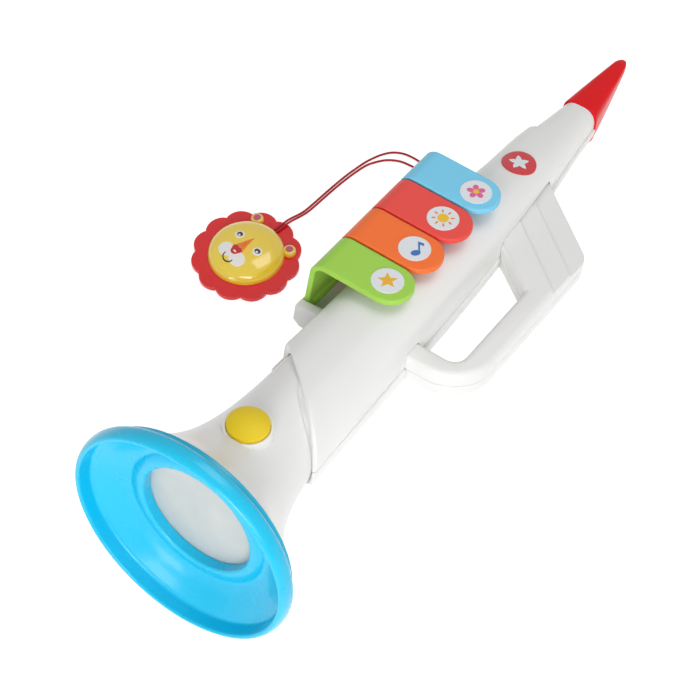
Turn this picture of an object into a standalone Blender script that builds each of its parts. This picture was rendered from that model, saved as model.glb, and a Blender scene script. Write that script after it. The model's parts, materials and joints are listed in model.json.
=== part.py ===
"""Toy trumpet with four hinged keys, a push button and a charm on a cord.

The trumpet's own frame has +X along the horn from the bell to the mouthpiece, +Y towards the
side where the keys are hinged and +Z through the keys. An empty lays that frame down on the
floor, so that the bell's rim and the tail of the body rest on it.
"""

import math

import bmesh
import bpy
from mathutils import Matrix, Vector

# Fits
GAP = 0.0003
SLIDE_GAP = 0.0004
OVERRUN = 0.003
ROUND_STEPS = 44
SMALL_STEPS = 16

# Bell
BELL_START = -0.0043
BELL_RADIUS = 0.0589
LIP_RADIUS = 0.0296
LIP_DEPTH = 0.0147
FLARE_TUBE_WALL = 0.0022
LENS_SEAT = 0.0022
LENS_PLACE = 0.0155
LENS_THICKNESS = 0.0022
LENS_CROWN = 0.0015
RIM_FOOT_SHARE = 0.42

# Horn
HORN_START = 0.0086
HORN_END = 0.1120
RIM_OVERHANG = 0.0047
HORN_THROAT_RADIUS = 0.0215
HORN_FLARE_LENGTH = 0.0235
HORN_WALL = 0.0022

# Body shells
BODY_START = 0.0600
BODY_END = 0.3430
BODY_HALF_WIDTH = 0.0268
BODY_FRONT_HEIGHT = 0.0263
BODY_REAR_HEIGHT = 0.0252
BODY_WALL = 0.0020
COLLAR_GAP = 0.0004
COLLAR_RUN = 0.0060
PARTING_STEP = 0.0012
FRONT_LIP_MIDDLE = 0.0870
FRONT_LIP_SLANT = 0.84
REAR_LIP_MIDDLE = 0.0830
REAR_LIP_SLANT = 0.70
FLANK_RISE = 0.0024
FLANK_RISE_START = 0.2680
FLANK_RISE_END = 0.3120
FLANK_DROP = 0.0014
FRONT_ROUNDNESS = 2.8
REAR_ROUNDNESS = 2.6

# Handle
HANDLE_START = 0.1423
HANDLE_POST = 0.0119
HANDLE_REACH = 0.0577
HANDLE_BAR = 0.0124
HANDLE_HALF_DEPTH = 0.00835
HANDLE_WALL = 0.0024
HANDLE_EDGE = 0.0030
HANDLE_TONGUE = 0.0033
HANDLE_WEB_END = 0.2895
HANDLE_TIP = 0.2535
HANDLE_CAVITY = 0.0042
GRIP_LENGTH = 0.0813
GRIP_FAR = 0.2145
HEEL_RADIUS = 0.0235
TIP_RADIUS = 0.0090
GRIP_HEEL_RADIUS = 0.0070
GRIP_TIP_RADIUS = 0.0030
WEB_STEP = 0.0012
WEB_STEP_PITCH = 0.0160

# Mouthpiece
MOUTHPIECE_LENGTH = 0.0450
MOUTHPIECE_HALF_WIDTH = 0.0104
MOUTHPIECE_TOP = 0.0106
MOUTHPIECE_BOTTOM = 0.0124
MOUTHPIECE_TIP_TOP = 0.0128
MOUTHPIECE_TIP_BOTTOM = 0.0088
SPIGOT_LENGTH = 0.0110

# Keys
KEY_WIDTH = 0.0243
KEY_PITCH = 0.0255
KEY_FIRST = 0.1573
KEY_TOP = 0.0324
KEY_THICKNESS = 0.0030
KEY_END = -0.0012
KEY_ROLL_RADIUS = 0.0085
KEY_BACK = 0.0362
KEY_EDGE = 0.0007
HINGE_SIDE = 0.0366
HINGE_HEIGHT = 0.0
FOOT_RADIUS = 0.0034
ROD_RADIUS = 0.0015
PLUNGER_SIDE = 0.0040
PLUNGER_RADIUS = 0.0025
PLUNGER_HOLE_GAP = 0.0020
LABEL_RADIUS = 0.0080
LABEL_THICKNESS = 0.0004
LABEL_SHIFT_SHARES = (0.15, 0.35, 0.40, 0.05)
ROUND_LABEL_RADIUS = 0.0091
ROUND_LABEL_PLACE = 0.2790

# Hinge rail and cord anchor
RAIL_END_WALL = 0.0050
RAIL_TOP = 0.0058
RAIL_OUTER_TOP = 0.0046
RAIL_OUTER_SIDE = 0.0386
RAIL_BULGE_SIDE = 0.0394
RAIL_BULGE_HEIGHT = -0.0060
RAIL_BOTTOM = -0.0092
RAIL_BOTTOM_SIDE = 0.0355
RAIL_FLOOR = -0.0050
RAIL_CLEARANCE = 0.0012
ANCHOR_LENGTH = 0.0055
ANCHOR_HALF_WIDTH = 0.0034
ANCHOR_HALF_HEIGHT = 0.0026

# Electrics
BOARD_THICKNESS = 0.0016
BOARD_HEIGHT = 0.0090
BOARD_HALF_WIDTH = 0.0158
BOARD_NARROW_HALF_WIDTH = 0.0104
BOARD_START = 0.0400
BOARD_SHOULDER = 0.1180
BOARD_END = 0.2420
DOME_BASE_RADIUS = 0.0045
DOME_TOP_RADIUS = 0.0026
DOME_HEIGHT = 0.0034
LIGHT_BOARD_PLACE = 0.0300
LED_RADIUS = 0.0025
LED_HEIGHT = 0.0070
LED_RING = 0.0130
LED_COUNT = 3
SPEAKER_PLACE = 0.1280
SPEAKER_RADIUS = 0.0135
SPEAKER_FLANGE = 0.0025
SPEAKER_DEPTH = 0.0082
SPEAKER_CLEARANCE = 0.0015
SPEAKER_MAGNET_RADIUS = 0.0075
GRILLE_SLOT_WIDTH = 0.0016
GRILLE_PITCH = 0.0040
GRILLE_COUNT = 5
GRILLE_RADIUS = 0.0100

# Batteries
BATTERY_RADIUS = 0.00725
BATTERY_LENGTH = 0.0492
BATTERY_NIPPLE_RADIUS = 0.0027
BATTERY_NIPPLE = 0.0013
BATTERY_HEIGHT = -0.0096
TRAY_START = 0.1460
TRAY_WALL = 0.0016
TRAY_BOTTOM = -0.0148
CONTACT_THICKNESS = 0.0005
CONTACT_SPRING_LENGTH = 0.0042
CONTACT_SPRING_RADIUS = 0.0036
DOOR_MARGIN = 0.0010
DOOR_HALF_WIDTH = 0.0150
DOOR_SCREW_RADIUS = 0.0014

# Power switch
SWITCH_MARGIN = 0.0236
SWITCH_TRAVEL = 0.0040
SWITCH_THUMB = 0.0050
SWITCH_PROUD = 0.0010
SWITCH_FLANGE = 0.0010
SWITCH_FLANGE_THICKNESS = 0.0014
SWITCH_WALL = 0.0012
SWITCH_HEIGHT = 0.0052

# Screws
MIDDLE_SCREW_MARGIN = 0.0076
MIDDLE_SCREW_SIDE = 0.0140
TAIL_SCREW_PLACE = 0.3000
SCREW_SHANK_RADIUS = 0.0011
SCREW_HEAD_RADIUS = 0.0023
SCREW_HEAD_HEIGHT = 0.0014
SCREW_BITE = 0.0070
BOSS_RADIUS = 0.0034
BOSS_GAP = 0.0006
BOSS_INSET = 0.0002
SCREW_SEAT = 0.0040

# Button
BUTTON_PLACE = 0.0472
BUTTON_RADIUS = 0.0100
BUTTON_PROUD = 0.0016
BUTTON_CROWN = 0.0026
BUTTON_COLLAR = 0.0013
BUTTON_FLANGE = 0.0014
BUTTON_FLANGE_THICKNESS = 0.0014
BUTTON_DEPTH = 0.0128
BUTTON_STEM_RADIUS = 0.0030

# Charm, which lies on the floor beside the trumpet
CHARM_X = -0.0138
CHARM_Y = 0.0960
CHARM_TURN = math.radians(-15.3)
CHARM_RADIUS = 0.0286
CHARM_THICKNESS = 0.0030
CHARM_SCALLOPS = 12
CHARM_SCALLOP_DEPTH = 0.0024
FACE_RADIUS = 0.0198
FACE_HEIGHT = 0.0080
FACE_WALL = 0.0018
FACE_ROUNDNESS = 2.4
EAR_RADIUS = 0.0034
EAR_DISTANCE = 0.0222
EAR_TURN = math.radians(37.0)
EAR_THICKNESS = 0.0026
CHARM_POST_RADIUS = 0.0017
CHARM_POST_PLACE = 0.0095
CHARM_POST_HEIGHT = 0.0030
CORD_NOTCH_HALF_WIDTH = 0.0022
CORD_NOTCH_HEIGHT = 0.0021
CORD_NOTCH_TURN = math.radians(4.3)

# Cord
CORD_DIAMETER = 0.0012
CORD_STEP = 0.0043
CORD_TURN_STEP = 0.0022

# Shares of the body's length, of its half width and of its front and rear heights
BODY_TAPER_SHARES = (
    (0.000, 1.000, 1.000, 1.000),
    (0.039, 0.966, 0.973, 0.984),
    (0.113, 0.948, 0.951, 0.972),
    (0.318, 0.925, 0.924, 0.964),
    (0.382, 0.918, 0.913, 0.952),
    (0.495, 0.873, 0.867, 0.913),
    (0.608, 0.806, 0.798, 0.853),
    (0.721, 0.720, 0.711, 0.772),
    (0.834, 0.608, 0.601, 0.675),
    (0.912, 0.504, 0.502, 0.597),
    (1.000, 0.403, 0.403, 0.512),
)

# Shares from the lens lip out to the rim, and of the lip's depth; behind, from the tube out to the horn
FLARE_FACE_SHARES = (
    (0.000, 1.000), (0.036, 0.952), (0.133, 0.959), (0.208, 1.027), (0.259, 1.092), (0.342, 1.068),
    (0.485, 0.932), (0.638, 0.730), (0.780, 0.555), (0.838, 0.490), (0.863, 0.250), (0.885, 0.080),
    (0.915, 0.000), (0.955, 0.085), (0.988, 0.200), (1.000, 0.310), (1.000, RIM_FOOT_SHARE),
    (0.978, 0.540), (0.935, 0.620),
)
FLARE_BACK_SHARES = ((0.88, 0.940), (0.77, 1.100), (0.50, 1.270), (0.17, 1.340))

HORN_STATION_SHARES = (0.0, 0.022, 0.048, 0.08, 0.12, 0.17, 0.23, 0.30, 0.38, 0.48, 0.61, 0.78, 1.0)
BODY_STATION_SHARES = (
    0.0, 0.03, 0.09, 0.17, 0.27, 0.38, 0.48, 0.57, 0.65, 0.72, 0.79, 0.845, 0.88, 0.888, 0.895, 0.94, 1.0,
)
MOUTHPIECE_STATION_SHARES = (0.0, 0.16, 0.34, 0.54, 0.74, 0.90, 0.97, 1.0)


def mix(low, high, share):
    """Give the value that lies the given share of the way from low to high."""
    return low + (high - low) * share


def clamp(value, low, high):
    """Keep a value between two others."""
    return max(low, min(high, value))


def ease(share):
    """Give a smooth rise from 0 to 1 for a share that is held between them."""
    held = clamp(share, 0.0, 1.0)
    return held * held * (3.0 - 2.0 * held)


def follow(table, share, column):
    """Read one column of a table of shares as a smooth curve."""
    last = len(table) - 1
    index = 0
    while index < last - 1 and share > table[index + 1][0]:
        index += 1
    before, low = table[max(index - 1, 0)], table[index]
    high, after = table[index + 1], table[min(index + 2, last)]
    width = high[0] - low[0]
    place = clamp((share - low[0]) / width, 0.0, 1.0)
    start = (high[column] - before[column]) / (high[0] - before[0]) * width
    end = (after[column] - low[column]) / (after[0] - low[0]) * width
    square, cube = place ** 2, place ** 3
    return (
        (2 * cube - 3 * square + 1) * low[column]
        + (cube - 2 * square + place) * start
        + (3 * square - 2 * cube) * high[column]
        + (cube - square) * end
    )


def horn_mouth_radius():
    """Give the horn's outer radius where it meets the bell, tucked in behind the rim."""
    return BELL_RADIUS - RIM_OVERHANG


def horn_radius(along):
    """Give the horn's outer radius, which falls off exponentially from the bell."""
    fall = math.exp(-(along - HORN_START) / HORN_FLARE_LENGTH)
    return HORN_THROAT_RADIUS + (horn_mouth_radius() - HORN_THROAT_RADIUS) * fall


def horn_slope(along):
    """Give how fast the horn's radius shrinks along its length."""
    return (horn_radius(along) - HORN_THROAT_RADIUS) / HORN_FLARE_LENGTH


def body_share(along):
    """Give a place along the body as a share of the body's length."""
    return clamp((along - BODY_START) / (BODY_END - BODY_START), 0.0, 1.0)


def body_width(along):
    """Give the rear shell's half width."""
    return BODY_HALF_WIDTH * follow(BODY_TAPER_SHARES, body_share(along), 1)


def front_width(along):
    """Give the front shell's half width, inside the rear shell's parting ledge."""
    return body_width(along) - PARTING_STEP


def front_height(along):
    """Give the front shell's height above the parting plane."""
    return BODY_FRONT_HEIGHT * follow(BODY_TAPER_SHARES, body_share(along), 2)


def rear_height(along):
    """Give the rear shell's depth below the parting plane."""
    return BODY_REAR_HEIGHT * follow(BODY_TAPER_SHARES, body_share(along), 3)


def flank_rise(along):
    """Give how far the keys' flank stands out before its step near the mouthpiece."""
    rise = ease((along - FLANK_RISE_START) / (FLANK_RISE_END - FLANK_RISE_START))
    drop = ease((along - FLANK_RISE_END) / FLANK_DROP)
    return FLANK_RISE * (rise - drop)


def arch_height(side, half_width, height, roundness):
    """Give the height of a rounded arch at one sideways place."""
    share = clamp(abs(side) / half_width, 0.0, 1.0)
    return height * (1.0 - share ** roundness) ** (1.0 / roundness)


def arch_point(angle, half_width, height, roundness):
    """Give the sideways place and the height of one point on a rounded arch."""
    across, up = math.cos(angle), math.sin(angle)
    side = math.copysign(abs(across) ** (2.0 / roundness), across) * half_width
    return side, abs(up) ** (2.0 / roundness) * height


def linear_from_hex(code):
    """Turn an sRGB hex colour into linear red, green, blue and alpha."""
    values = [int(code[start:start + 2], 16) / 255.0 for start in (1, 3, 5)]
    linear = [v / 12.92 if v <= 0.04045 else ((v + 0.055) / 1.055) ** 2.4 for v in values]
    return (*linear, 1.0)


def make_material(name, code, roughness, metallic=0.0):
    """Make a Principled material with one colour."""
    material = bpy.data.materials.new(name)
    material.use_nodes = True
    shader = material.node_tree.nodes["Principled BSDF"]
    shader.inputs["Base Color"].default_value = linear_from_hex(code)
    shader.inputs["Roughness"].default_value = roughness
    shader.inputs["Metallic"].default_value = metallic
    return material


def make_materials():
    """Make every material of the trumpet."""
    return {
        "white": make_material("white_abs", "#ECECEA", 0.42),
        "blue": make_material("blue_abs", "#1FB8EE", 0.30),
        "lens": make_material("milky_polycarbonate", "#D4DADF", 0.45),
        "yellow": make_material("yellow_abs", "#E6CE1E", 0.45),
        "red": make_material("red_abs", "#D2303A", 0.35),
        "key_green": make_material("green_abs", "#98D050", 0.40),
        "key_orange": make_material("orange_abs", "#F56A38", 0.40),
        "key_red": make_material("coral_abs", "#E04A48", 0.40),
        "key_blue": make_material("sky_abs", "#6CC0E8", 0.40),
        "label": make_material("label_paper", "#E6EAEE", 0.50),
        "red_label": make_material("red_label_paper", "#D63A42", 0.45),
        "mane": make_material("mane_abs", "#C8403E", 0.32),
        "face": make_material("face_abs", "#E0C850", 0.28),
        "cord": make_material("dark_red_cord", "#A80D18", 0.75),
        "board": make_material("green_board", "#1F6B3A", 0.50),
        "silicone": make_material("grey_silicone", "#B8BCC0", 0.60),
        "led": make_material("clear_epoxy", "#E8EEF2", 0.15),
        "speaker": make_material("black_speaker", "#26282B", 0.60),
        "battery": make_material("battery_sleeve", "#3A4048", 0.35),
        "spring_steel": make_material("nickel_spring_steel", "#C4C6C8", 0.30, 1.0),
        "screw": make_material("zinc_steel", "#9EA2A6", 0.35, 1.0),
        "black": make_material("black_abs", "#202226", 0.50),
    }


def put_on_stage(name, mesh, material, parent, origin=Vector()):
    """Make an object whose mesh is moved so that the object's origin lies at the given place."""
    mesh.transform(Matrix.Translation(-origin))
    mesh.materials.clear()
    mesh.materials.append(material)
    mesh.shade_smooth()
    mesh.set_sharp_from_angle(angle=math.radians(32.0))
    thing = bpy.data.objects.new(name, mesh)
    bpy.context.scene.collection.objects.link(thing)
    thing.parent = parent
    thing.location = origin
    return thing


def mesh_from(name, build):
    """Run a bmesh builder and give its closed result, with the faces turned outwards."""
    work = bmesh.new()
    build(work)
    bmesh.ops.remove_doubles(work, verts=work.verts, dist=GAP / 100)
    bmesh.ops.recalc_face_normals(work, faces=work.faces)
    mesh = bpy.data.meshes.new(name)
    work.to_mesh(mesh)
    work.free()
    return mesh


def add_rings(work, rings, close_length=False):
    """Join closed rings of points, one after the other, and close both ends."""
    rows = [[work.verts.new(point) for point in ring] for ring in rings]
    count = len(rows[0])
    pairs = list(zip(rows, rows[1:]))
    if close_length:
        pairs.append((rows[-1], rows[0]))
    for low, high in pairs:
        for i in range(count):
            j = (i + 1) % count
            work.faces.new((low[i], low[j], high[j], high[i]))
    if not close_length:
        work.faces.new(rows[0][::-1])
        work.faces.new(rows[-1])


def loft(name, rings):
    """Make a closed solid through rings of points."""
    return mesh_from(name, lambda work: add_rings(work, rings))


def turned(name, profile, steps=ROUND_STEPS, sweep=2 * math.pi, start=0.0, lift=0.0):
    """Turn a closed outline of radius and place along about the horn's axis."""
    full = sweep >= 2 * math.pi
    count = steps if full else steps + 1
    rings = []
    for k in range(count):
        angle = start + sweep * k / steps
        rings.append([
            Vector((along, radius * math.cos(angle), radius * math.sin(angle) + lift))
            for radius, along in profile
        ])
    return mesh_from(name, lambda work: add_rings(work, rings, close_length=full))


def spindle(name, profile, centre, axis, steps=SMALL_STEPS):
    """Turn an open outline of radius and height, from axis to axis, about a free axis."""
    turn = Vector((0, 0, 1)).rotation_difference(axis.normalized()).to_matrix()
    rings = []
    for radius, height in profile:
        rings.append([
            centre + turn @ Vector((
                radius * math.cos(2 * math.pi * k / steps),
                radius * math.sin(2 * math.pi * k / steps),
                height,
            ))
            for k in range(steps)
        ])
    return loft(name, rings)


def cylinder(name, radius, low, high, centre, axis, steps=SMALL_STEPS):
    """Make a plain cylinder between two heights on a free axis."""
    return spindle(name, ((radius, low), (radius, high)), centre, axis, steps)


def block(name, low, high):
    """Make a box between two corners."""
    ring = [(low[0], low[1]), (high[0], low[1]), (high[0], high[1]), (low[0], high[1])]
    return loft(name, [[Vector((x, y, z)) for x, y in ring] for z in (low[2], high[2])])


def merged(name, meshes):
    """Put several separate solids in one mesh, to be joined or cut in one go."""
    work = bmesh.new()
    for mesh in meshes:
        work.from_mesh(mesh)
        bpy.data.meshes.remove(mesh)
    mesh = bpy.data.meshes.new(name)
    work.to_mesh(mesh)
    work.free()
    return mesh


def combine(mesh, tool, operation):
    """Join, cut or intersect one mesh with another and give the result."""
    target = bpy.data.objects.new("target", mesh)
    other = bpy.data.objects.new("tool", tool)
    scene = bpy.context.scene.collection
    scene.objects.link(target)
    scene.objects.link(other)
    modifier = target.modifiers.new("combine", "BOOLEAN")
    modifier.operation = operation
    modifier.solver = "EXACT"
    modifier.object = other
    graph = bpy.context.evaluated_depsgraph_get()
    result = bpy.data.meshes.new_from_object(target.evaluated_get(graph))
    bpy.data.objects.remove(target)
    bpy.data.objects.remove(other)
    bpy.data.meshes.remove(mesh)
    bpy.data.meshes.remove(tool)
    return result


def rounded_edges(mesh, width, segments=1):
    """Round the sharp edges of a mesh."""
    work = bmesh.new()
    work.from_mesh(mesh)
    sharp = [e for e in work.edges if len(e.link_faces) == 2 and e.calc_face_angle() > math.radians(50)]
    bmesh.ops.bevel(work, geom=sharp, offset=width, segments=segments, affect="EDGES", profile=0.5)
    work.to_mesh(mesh)
    work.free()
    return mesh


def flare_point(outward_share, depth_share):
    """Give the radius and the place of one point of the bell's profile."""
    return mix(LIP_RADIUS, BELL_RADIUS, outward_share), BELL_START + LIP_DEPTH * depth_share


def make_bell(parent, materials):
    """Make the blue flare, the light window and what lights it."""
    seat_radius = LIP_RADIUS + LENS_SEAT
    tube_radius = seat_radius + FLARE_TUBE_WALL
    tube_end = LENS_PLACE + LENS_THICKNESS + GAP
    profile = [flare_point(*shares) for shares in FLARE_FACE_SHARES]
    profile += [
        (horn_mouth_radius() + GAP, mix(profile[-1][1], HORN_START, 0.3)),
        (horn_mouth_radius() + GAP, HORN_START - GAP),
        (horn_inner_radius(HORN_START) - GAP, HORN_START - GAP),
    ]
    for outward_share, depth_share in FLARE_BACK_SHARES:
        place = BELL_START + LIP_DEPTH * depth_share
        profile.append((mix(tube_radius, horn_inner_radius(place) - GAP, outward_share), place))
    profile += [
        (tube_radius, profile[-1][1]),
        (tube_radius, tube_end),
        (seat_radius, tube_end),
        (seat_radius, LENS_PLACE - GAP),
        (LIP_RADIUS, LENS_PLACE - GAP),
    ]
    put_on_stage("bell_flare", turned("bell_flare", profile), materials["blue"], parent)

    lens_radius = seat_radius - GAP
    window_shares = (0.0, 0.35, 0.7, 1.0)
    front = [
        (LIP_RADIUS * share, LENS_PLACE - LENS_CROWN * (1.0 - share ** 2))
        for share in window_shares
    ]
    back = LENS_PLACE + LENS_THICKNESS
    outline = front[1:] + [(lens_radius, LENS_PLACE), (lens_radius, back)]
    rings = [
        [Vector((along, radius * math.cos(angle), radius * math.sin(angle))) for angle in ring_angles()]
        for radius, along in outline
    ]
    put_on_stage("bell_lens", loft("bell_lens", rings), materials["lens"], parent)

    board_radius = horn_inner_radius(LIGHT_BOARD_PLACE + BOARD_THICKNESS) - SLIDE_GAP
    board = cylinder(
        "light_board", board_radius, 0, BOARD_THICKNESS,
        Vector((LIGHT_BOARD_PLACE, 0, 0)), Vector((1, 0, 0)), ROUND_STEPS,
    )
    put_on_stage("light_board", board, materials["board"], parent)
    names = ("led_left", "led_right", "led_top")
    for index, name in enumerate(names):
        angle = 2 * math.pi * index / LED_COUNT - math.pi / 6
        centre = Vector((LIGHT_BOARD_PLACE - GAP, LED_RING * math.cos(angle), LED_RING * math.sin(angle)))
        dome_shares = ((1.0, 0.0), (1.0, 0.62), (0.87, 0.83), (0.5, 0.97), (0.1, 1.0))
        outline = [(LED_RADIUS * wide, LED_HEIGHT * tall) for wide, tall in dome_shares]
        led = spindle(name, outline, centre, Vector((-1, 0, 0)), 12)
        put_on_stage(name, led, materials["led"], parent)


def ring_angles(steps=ROUND_STEPS):
    """Give the angles of the points round a full ring."""
    return [2 * math.pi * k / steps for k in range(steps)]


def horn_inner_radius(along):
    """Give the horn's inner radius, one wall inside its outer face."""
    return horn_radius(along) - HORN_WALL * math.hypot(1.0, horn_slope(along))


def button_centre():
    """Give the middle of the button's collar, level with the horn on the bell's side of it."""
    return Vector((BUTTON_PLACE, 0, horn_radius(BUTTON_PLACE - BUTTON_RADIUS)))


def make_horn(parent, materials):
    """Make the two horn halves, with the button's hole in the front one."""
    places = [mix(HORN_START, HORN_END, share) for share in HORN_STATION_SHARES]
    outer = [(horn_radius(place), place) for place in places]
    inner = [(horn_inner_radius(place), place) for place in places]
    profile = outer + inner[::-1]
    steps = ROUND_STEPS // 2
    front = turned("neck_front_shell", profile, steps, math.pi, 0.0, GAP / 2)
    centre, up = button_centre(), Vector((0, 0, 1))
    foot = horn_inner_radius(BUTTON_PLACE + BUTTON_RADIUS) - centre.z
    bore = BUTTON_RADIUS + SLIDE_GAP
    steps = ROUND_STEPS // 2
    collar = cylinder("collar", bore + BUTTON_COLLAR, foot, 0, centre, up, steps)
    inside = turned("inside", [(0, HORN_START), *inner, (0, HORN_END)], ROUND_STEPS)
    front = combine(front, combine(collar, inside, "DIFFERENCE"), "UNION")
    front = combine(front, cylinder("hole", bore, -BUTTON_DEPTH, OVERRUN, centre, up, steps), "DIFFERENCE")
    put_on_stage("neck_front_shell", front, materials["white"], parent)
    rear = turned("neck_rear_shell", profile, steps, math.pi, math.pi, -GAP / 2)
    put_on_stage("neck_rear_shell", rear, materials["white"], parent)


def make_button(parent, materials):
    """Make the yellow button and the silicone dome that it presses."""
    centre, axis = button_centre(), Vector((0, 0, 1))
    edge = BUTTON_RADIUS
    crown_shares = ((0.0, 1.0), (0.35, 0.89), (0.68, 0.58), (0.9, 0.2), (1.0, 0.0))
    flange_top = -BUTTON_DEPTH + BUTTON_FLANGE_THICKNESS
    board_top = BOARD_HEIGHT + BOARD_THICKNESS
    stem_end = board_top + DOME_HEIGHT + GAP - centre.z
    outline = [(BUTTON_STEM_RADIUS, stem_end), (BUTTON_STEM_RADIUS, -BUTTON_DEPTH)]
    outline += [(edge + BUTTON_FLANGE, -BUTTON_DEPTH), (edge + BUTTON_FLANGE, flange_top), (edge, flange_top)]
    outline += [
        (max(edge * wide, ROD_RADIUS), BUTTON_PROUD + BUTTON_CROWN * tall)
        for wide, tall in reversed(crown_shares)
    ]
    button = spindle("horn_button", outline, centre, axis, ROUND_STEPS // 2)
    put_on_stage("horn_button", button, materials["yellow"], parent, centre)
    make_dome("button_dome", Vector((BUTTON_PLACE, 0, 0)), parent, materials)


def make_dome(name, place, parent, materials):
    """Make one silicone switch dome on the circuit board."""
    board_top = BOARD_HEIGHT + BOARD_THICKNESS + GAP
    outline = ((DOME_BASE_RADIUS, 0), (DOME_BASE_RADIUS, GAP * 2), (DOME_TOP_RADIUS, DOME_HEIGHT - GAP))
    centre = Vector((place.x, place.y, board_top))
    dome = spindle(name, outline, centre, Vector((0, 0, 1)), 12)
    put_on_stage(name, dome, materials["silicone"], parent)


def shell_section(along_for_side, share, front):
    """Give one closed ring of points round half of the body's wall."""
    roundness = FRONT_ROUNDNESS if front else REAR_ROUNDNESS
    height_of = front_height if front else rear_height
    width_of = front_width if front else body_width
    sign = 1.0 if front else -1.0
    outer_steps, inner_steps = 22, 11
    ring = []
    for k in range(outer_steps + 1):
        angle = math.pi * k / outer_steps
        guess = arch_point(angle, BODY_HALF_WIDTH, BODY_FRONT_HEIGHT, roundness)[0]
        along = mix(along_for_side(guess), BODY_END, share)
        side, height = arch_point(angle, width_of(along), height_of(along), roundness)
        if front and side > 0:
            side += flank_rise(along) * ease(2.0 * side / width_of(along))
        ring.append(Vector((along, side, sign * (height + GAP / 2))))
    for k in range(inner_steps + 1):
        angle = math.pi * (1.0 - k / inner_steps)
        guess = arch_point(angle, BODY_HALF_WIDTH, BODY_FRONT_HEIGHT, roundness)[0]
        along = mix(along_for_side(guess), BODY_END, share)
        blend = ease((along - HORN_END) / COLLAR_RUN)
        collar = horn_radius(along) + COLLAR_GAP
        half_width = mix(collar, width_of(along) - BODY_WALL, blend)
        half_height = mix(collar, height_of(along) - BODY_WALL, blend)
        side, height = arch_point(angle, half_width, half_height, mix(2.0, roundness, blend))
        ring.append(Vector((along, side, sign * (height + GAP / 2))))
    return ring


def front_lip(side):
    """Give where the front shell starts at one sideways place."""
    return FRONT_LIP_MIDDLE + FRONT_LIP_SLANT * side


def rear_lip(side):
    """Give where the rear shell starts at one sideways place."""
    return REAR_LIP_MIDDLE + REAR_LIP_SLANT * side


def body_shell(name, front):
    """Make one body half without its holes."""
    lip = front_lip if front else rear_lip
    return loft(name, [shell_section(lip, share, front) for share in BODY_STATION_SHARES])


def rear_surface(along, side):
    """Give the height of the rear shell's outer face."""
    return -arch_height(side, body_width(along), rear_height(along), REAR_ROUNDNESS) - GAP / 2


def rear_inside(along, side):
    """Give the height of the rear shell's inner face."""
    half_width = body_width(along) - BODY_WALL
    return -arch_height(side, half_width, rear_height(along) - BODY_WALL, REAR_ROUNDNESS) - GAP / 2


def boss_start(along, side):
    """Give the height at which a screw boss starts inside the rear shell."""
    return rear_surface(along, abs(side) + BOSS_RADIUS) + BOSS_INSET


def key_place(index):
    """Give the place along the body of the middle of one key."""
    return KEY_FIRST + KEY_PITCH * index


def tray_end():
    """Give where the battery tray ends along the body."""
    return TRAY_START + tray_length() + 2 * TRAY_WALL


def screw_places():
    """Give each body screw's place: beside the speaker, behind the batteries and in the tail."""
    speaker_side = SPEAKER_RADIUS + BOSS_RADIUS + BOSS_GAP
    middle = tray_end() + MIDDLE_SCREW_MARGIN
    return (
        (SPEAKER_PLACE, speaker_side), (SPEAKER_PLACE, -speaker_side),
        (middle, MIDDLE_SCREW_SIDE), (middle, -MIDDLE_SCREW_SIDE),
        (TAIL_SCREW_PLACE, 0.0),
    )


def screw_seat(along, side):
    """Give the height of the seat that a screw's head rests on."""
    return rear_surface(along, side) + SCREW_SEAT


def make_front_shell(parent, materials):
    """Make the front body half with its bosses, plunger holes and handle window."""
    up = Vector((0, 0, 1))
    shell = body_shell("body_front_shell", True)
    bosses = [
        cylinder(
            "boss", BOSS_RADIUS, BOSS_GAP,
            arch_height(abs(side) + BOSS_RADIUS, front_width(along), front_height(along), FRONT_ROUNDNESS)
            - BOSS_INSET, Vector((along, side, 0)), up,
        )
        for along, side in screw_places()
    ]
    shell = combine(shell, merged("bosses", bosses), "UNION")
    cuts = [
        cylinder("pilot", SCREW_SHANK_RADIUS + GAP, 0, SCREW_BITE + GAP, Vector((along, side, 0)), up)
        for along, side in screw_places()
    ]
    hole_radius = PLUNGER_RADIUS + PLUNGER_HOLE_GAP
    cuts += [
        cylinder("hole", hole_radius, BOARD_HEIGHT, KEY_TOP, Vector((key_place(i), PLUNGER_SIDE, 0)), up)
        for i in range(4)
    ]
    shell = combine(shell, merged("cuts", cuts), "DIFFERENCE")
    shell = combine(shell, handle_block("window", 1.0, GAP), "DIFFERENCE")
    put_on_stage("body_front_shell", shell, materials["white"], parent)


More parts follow.
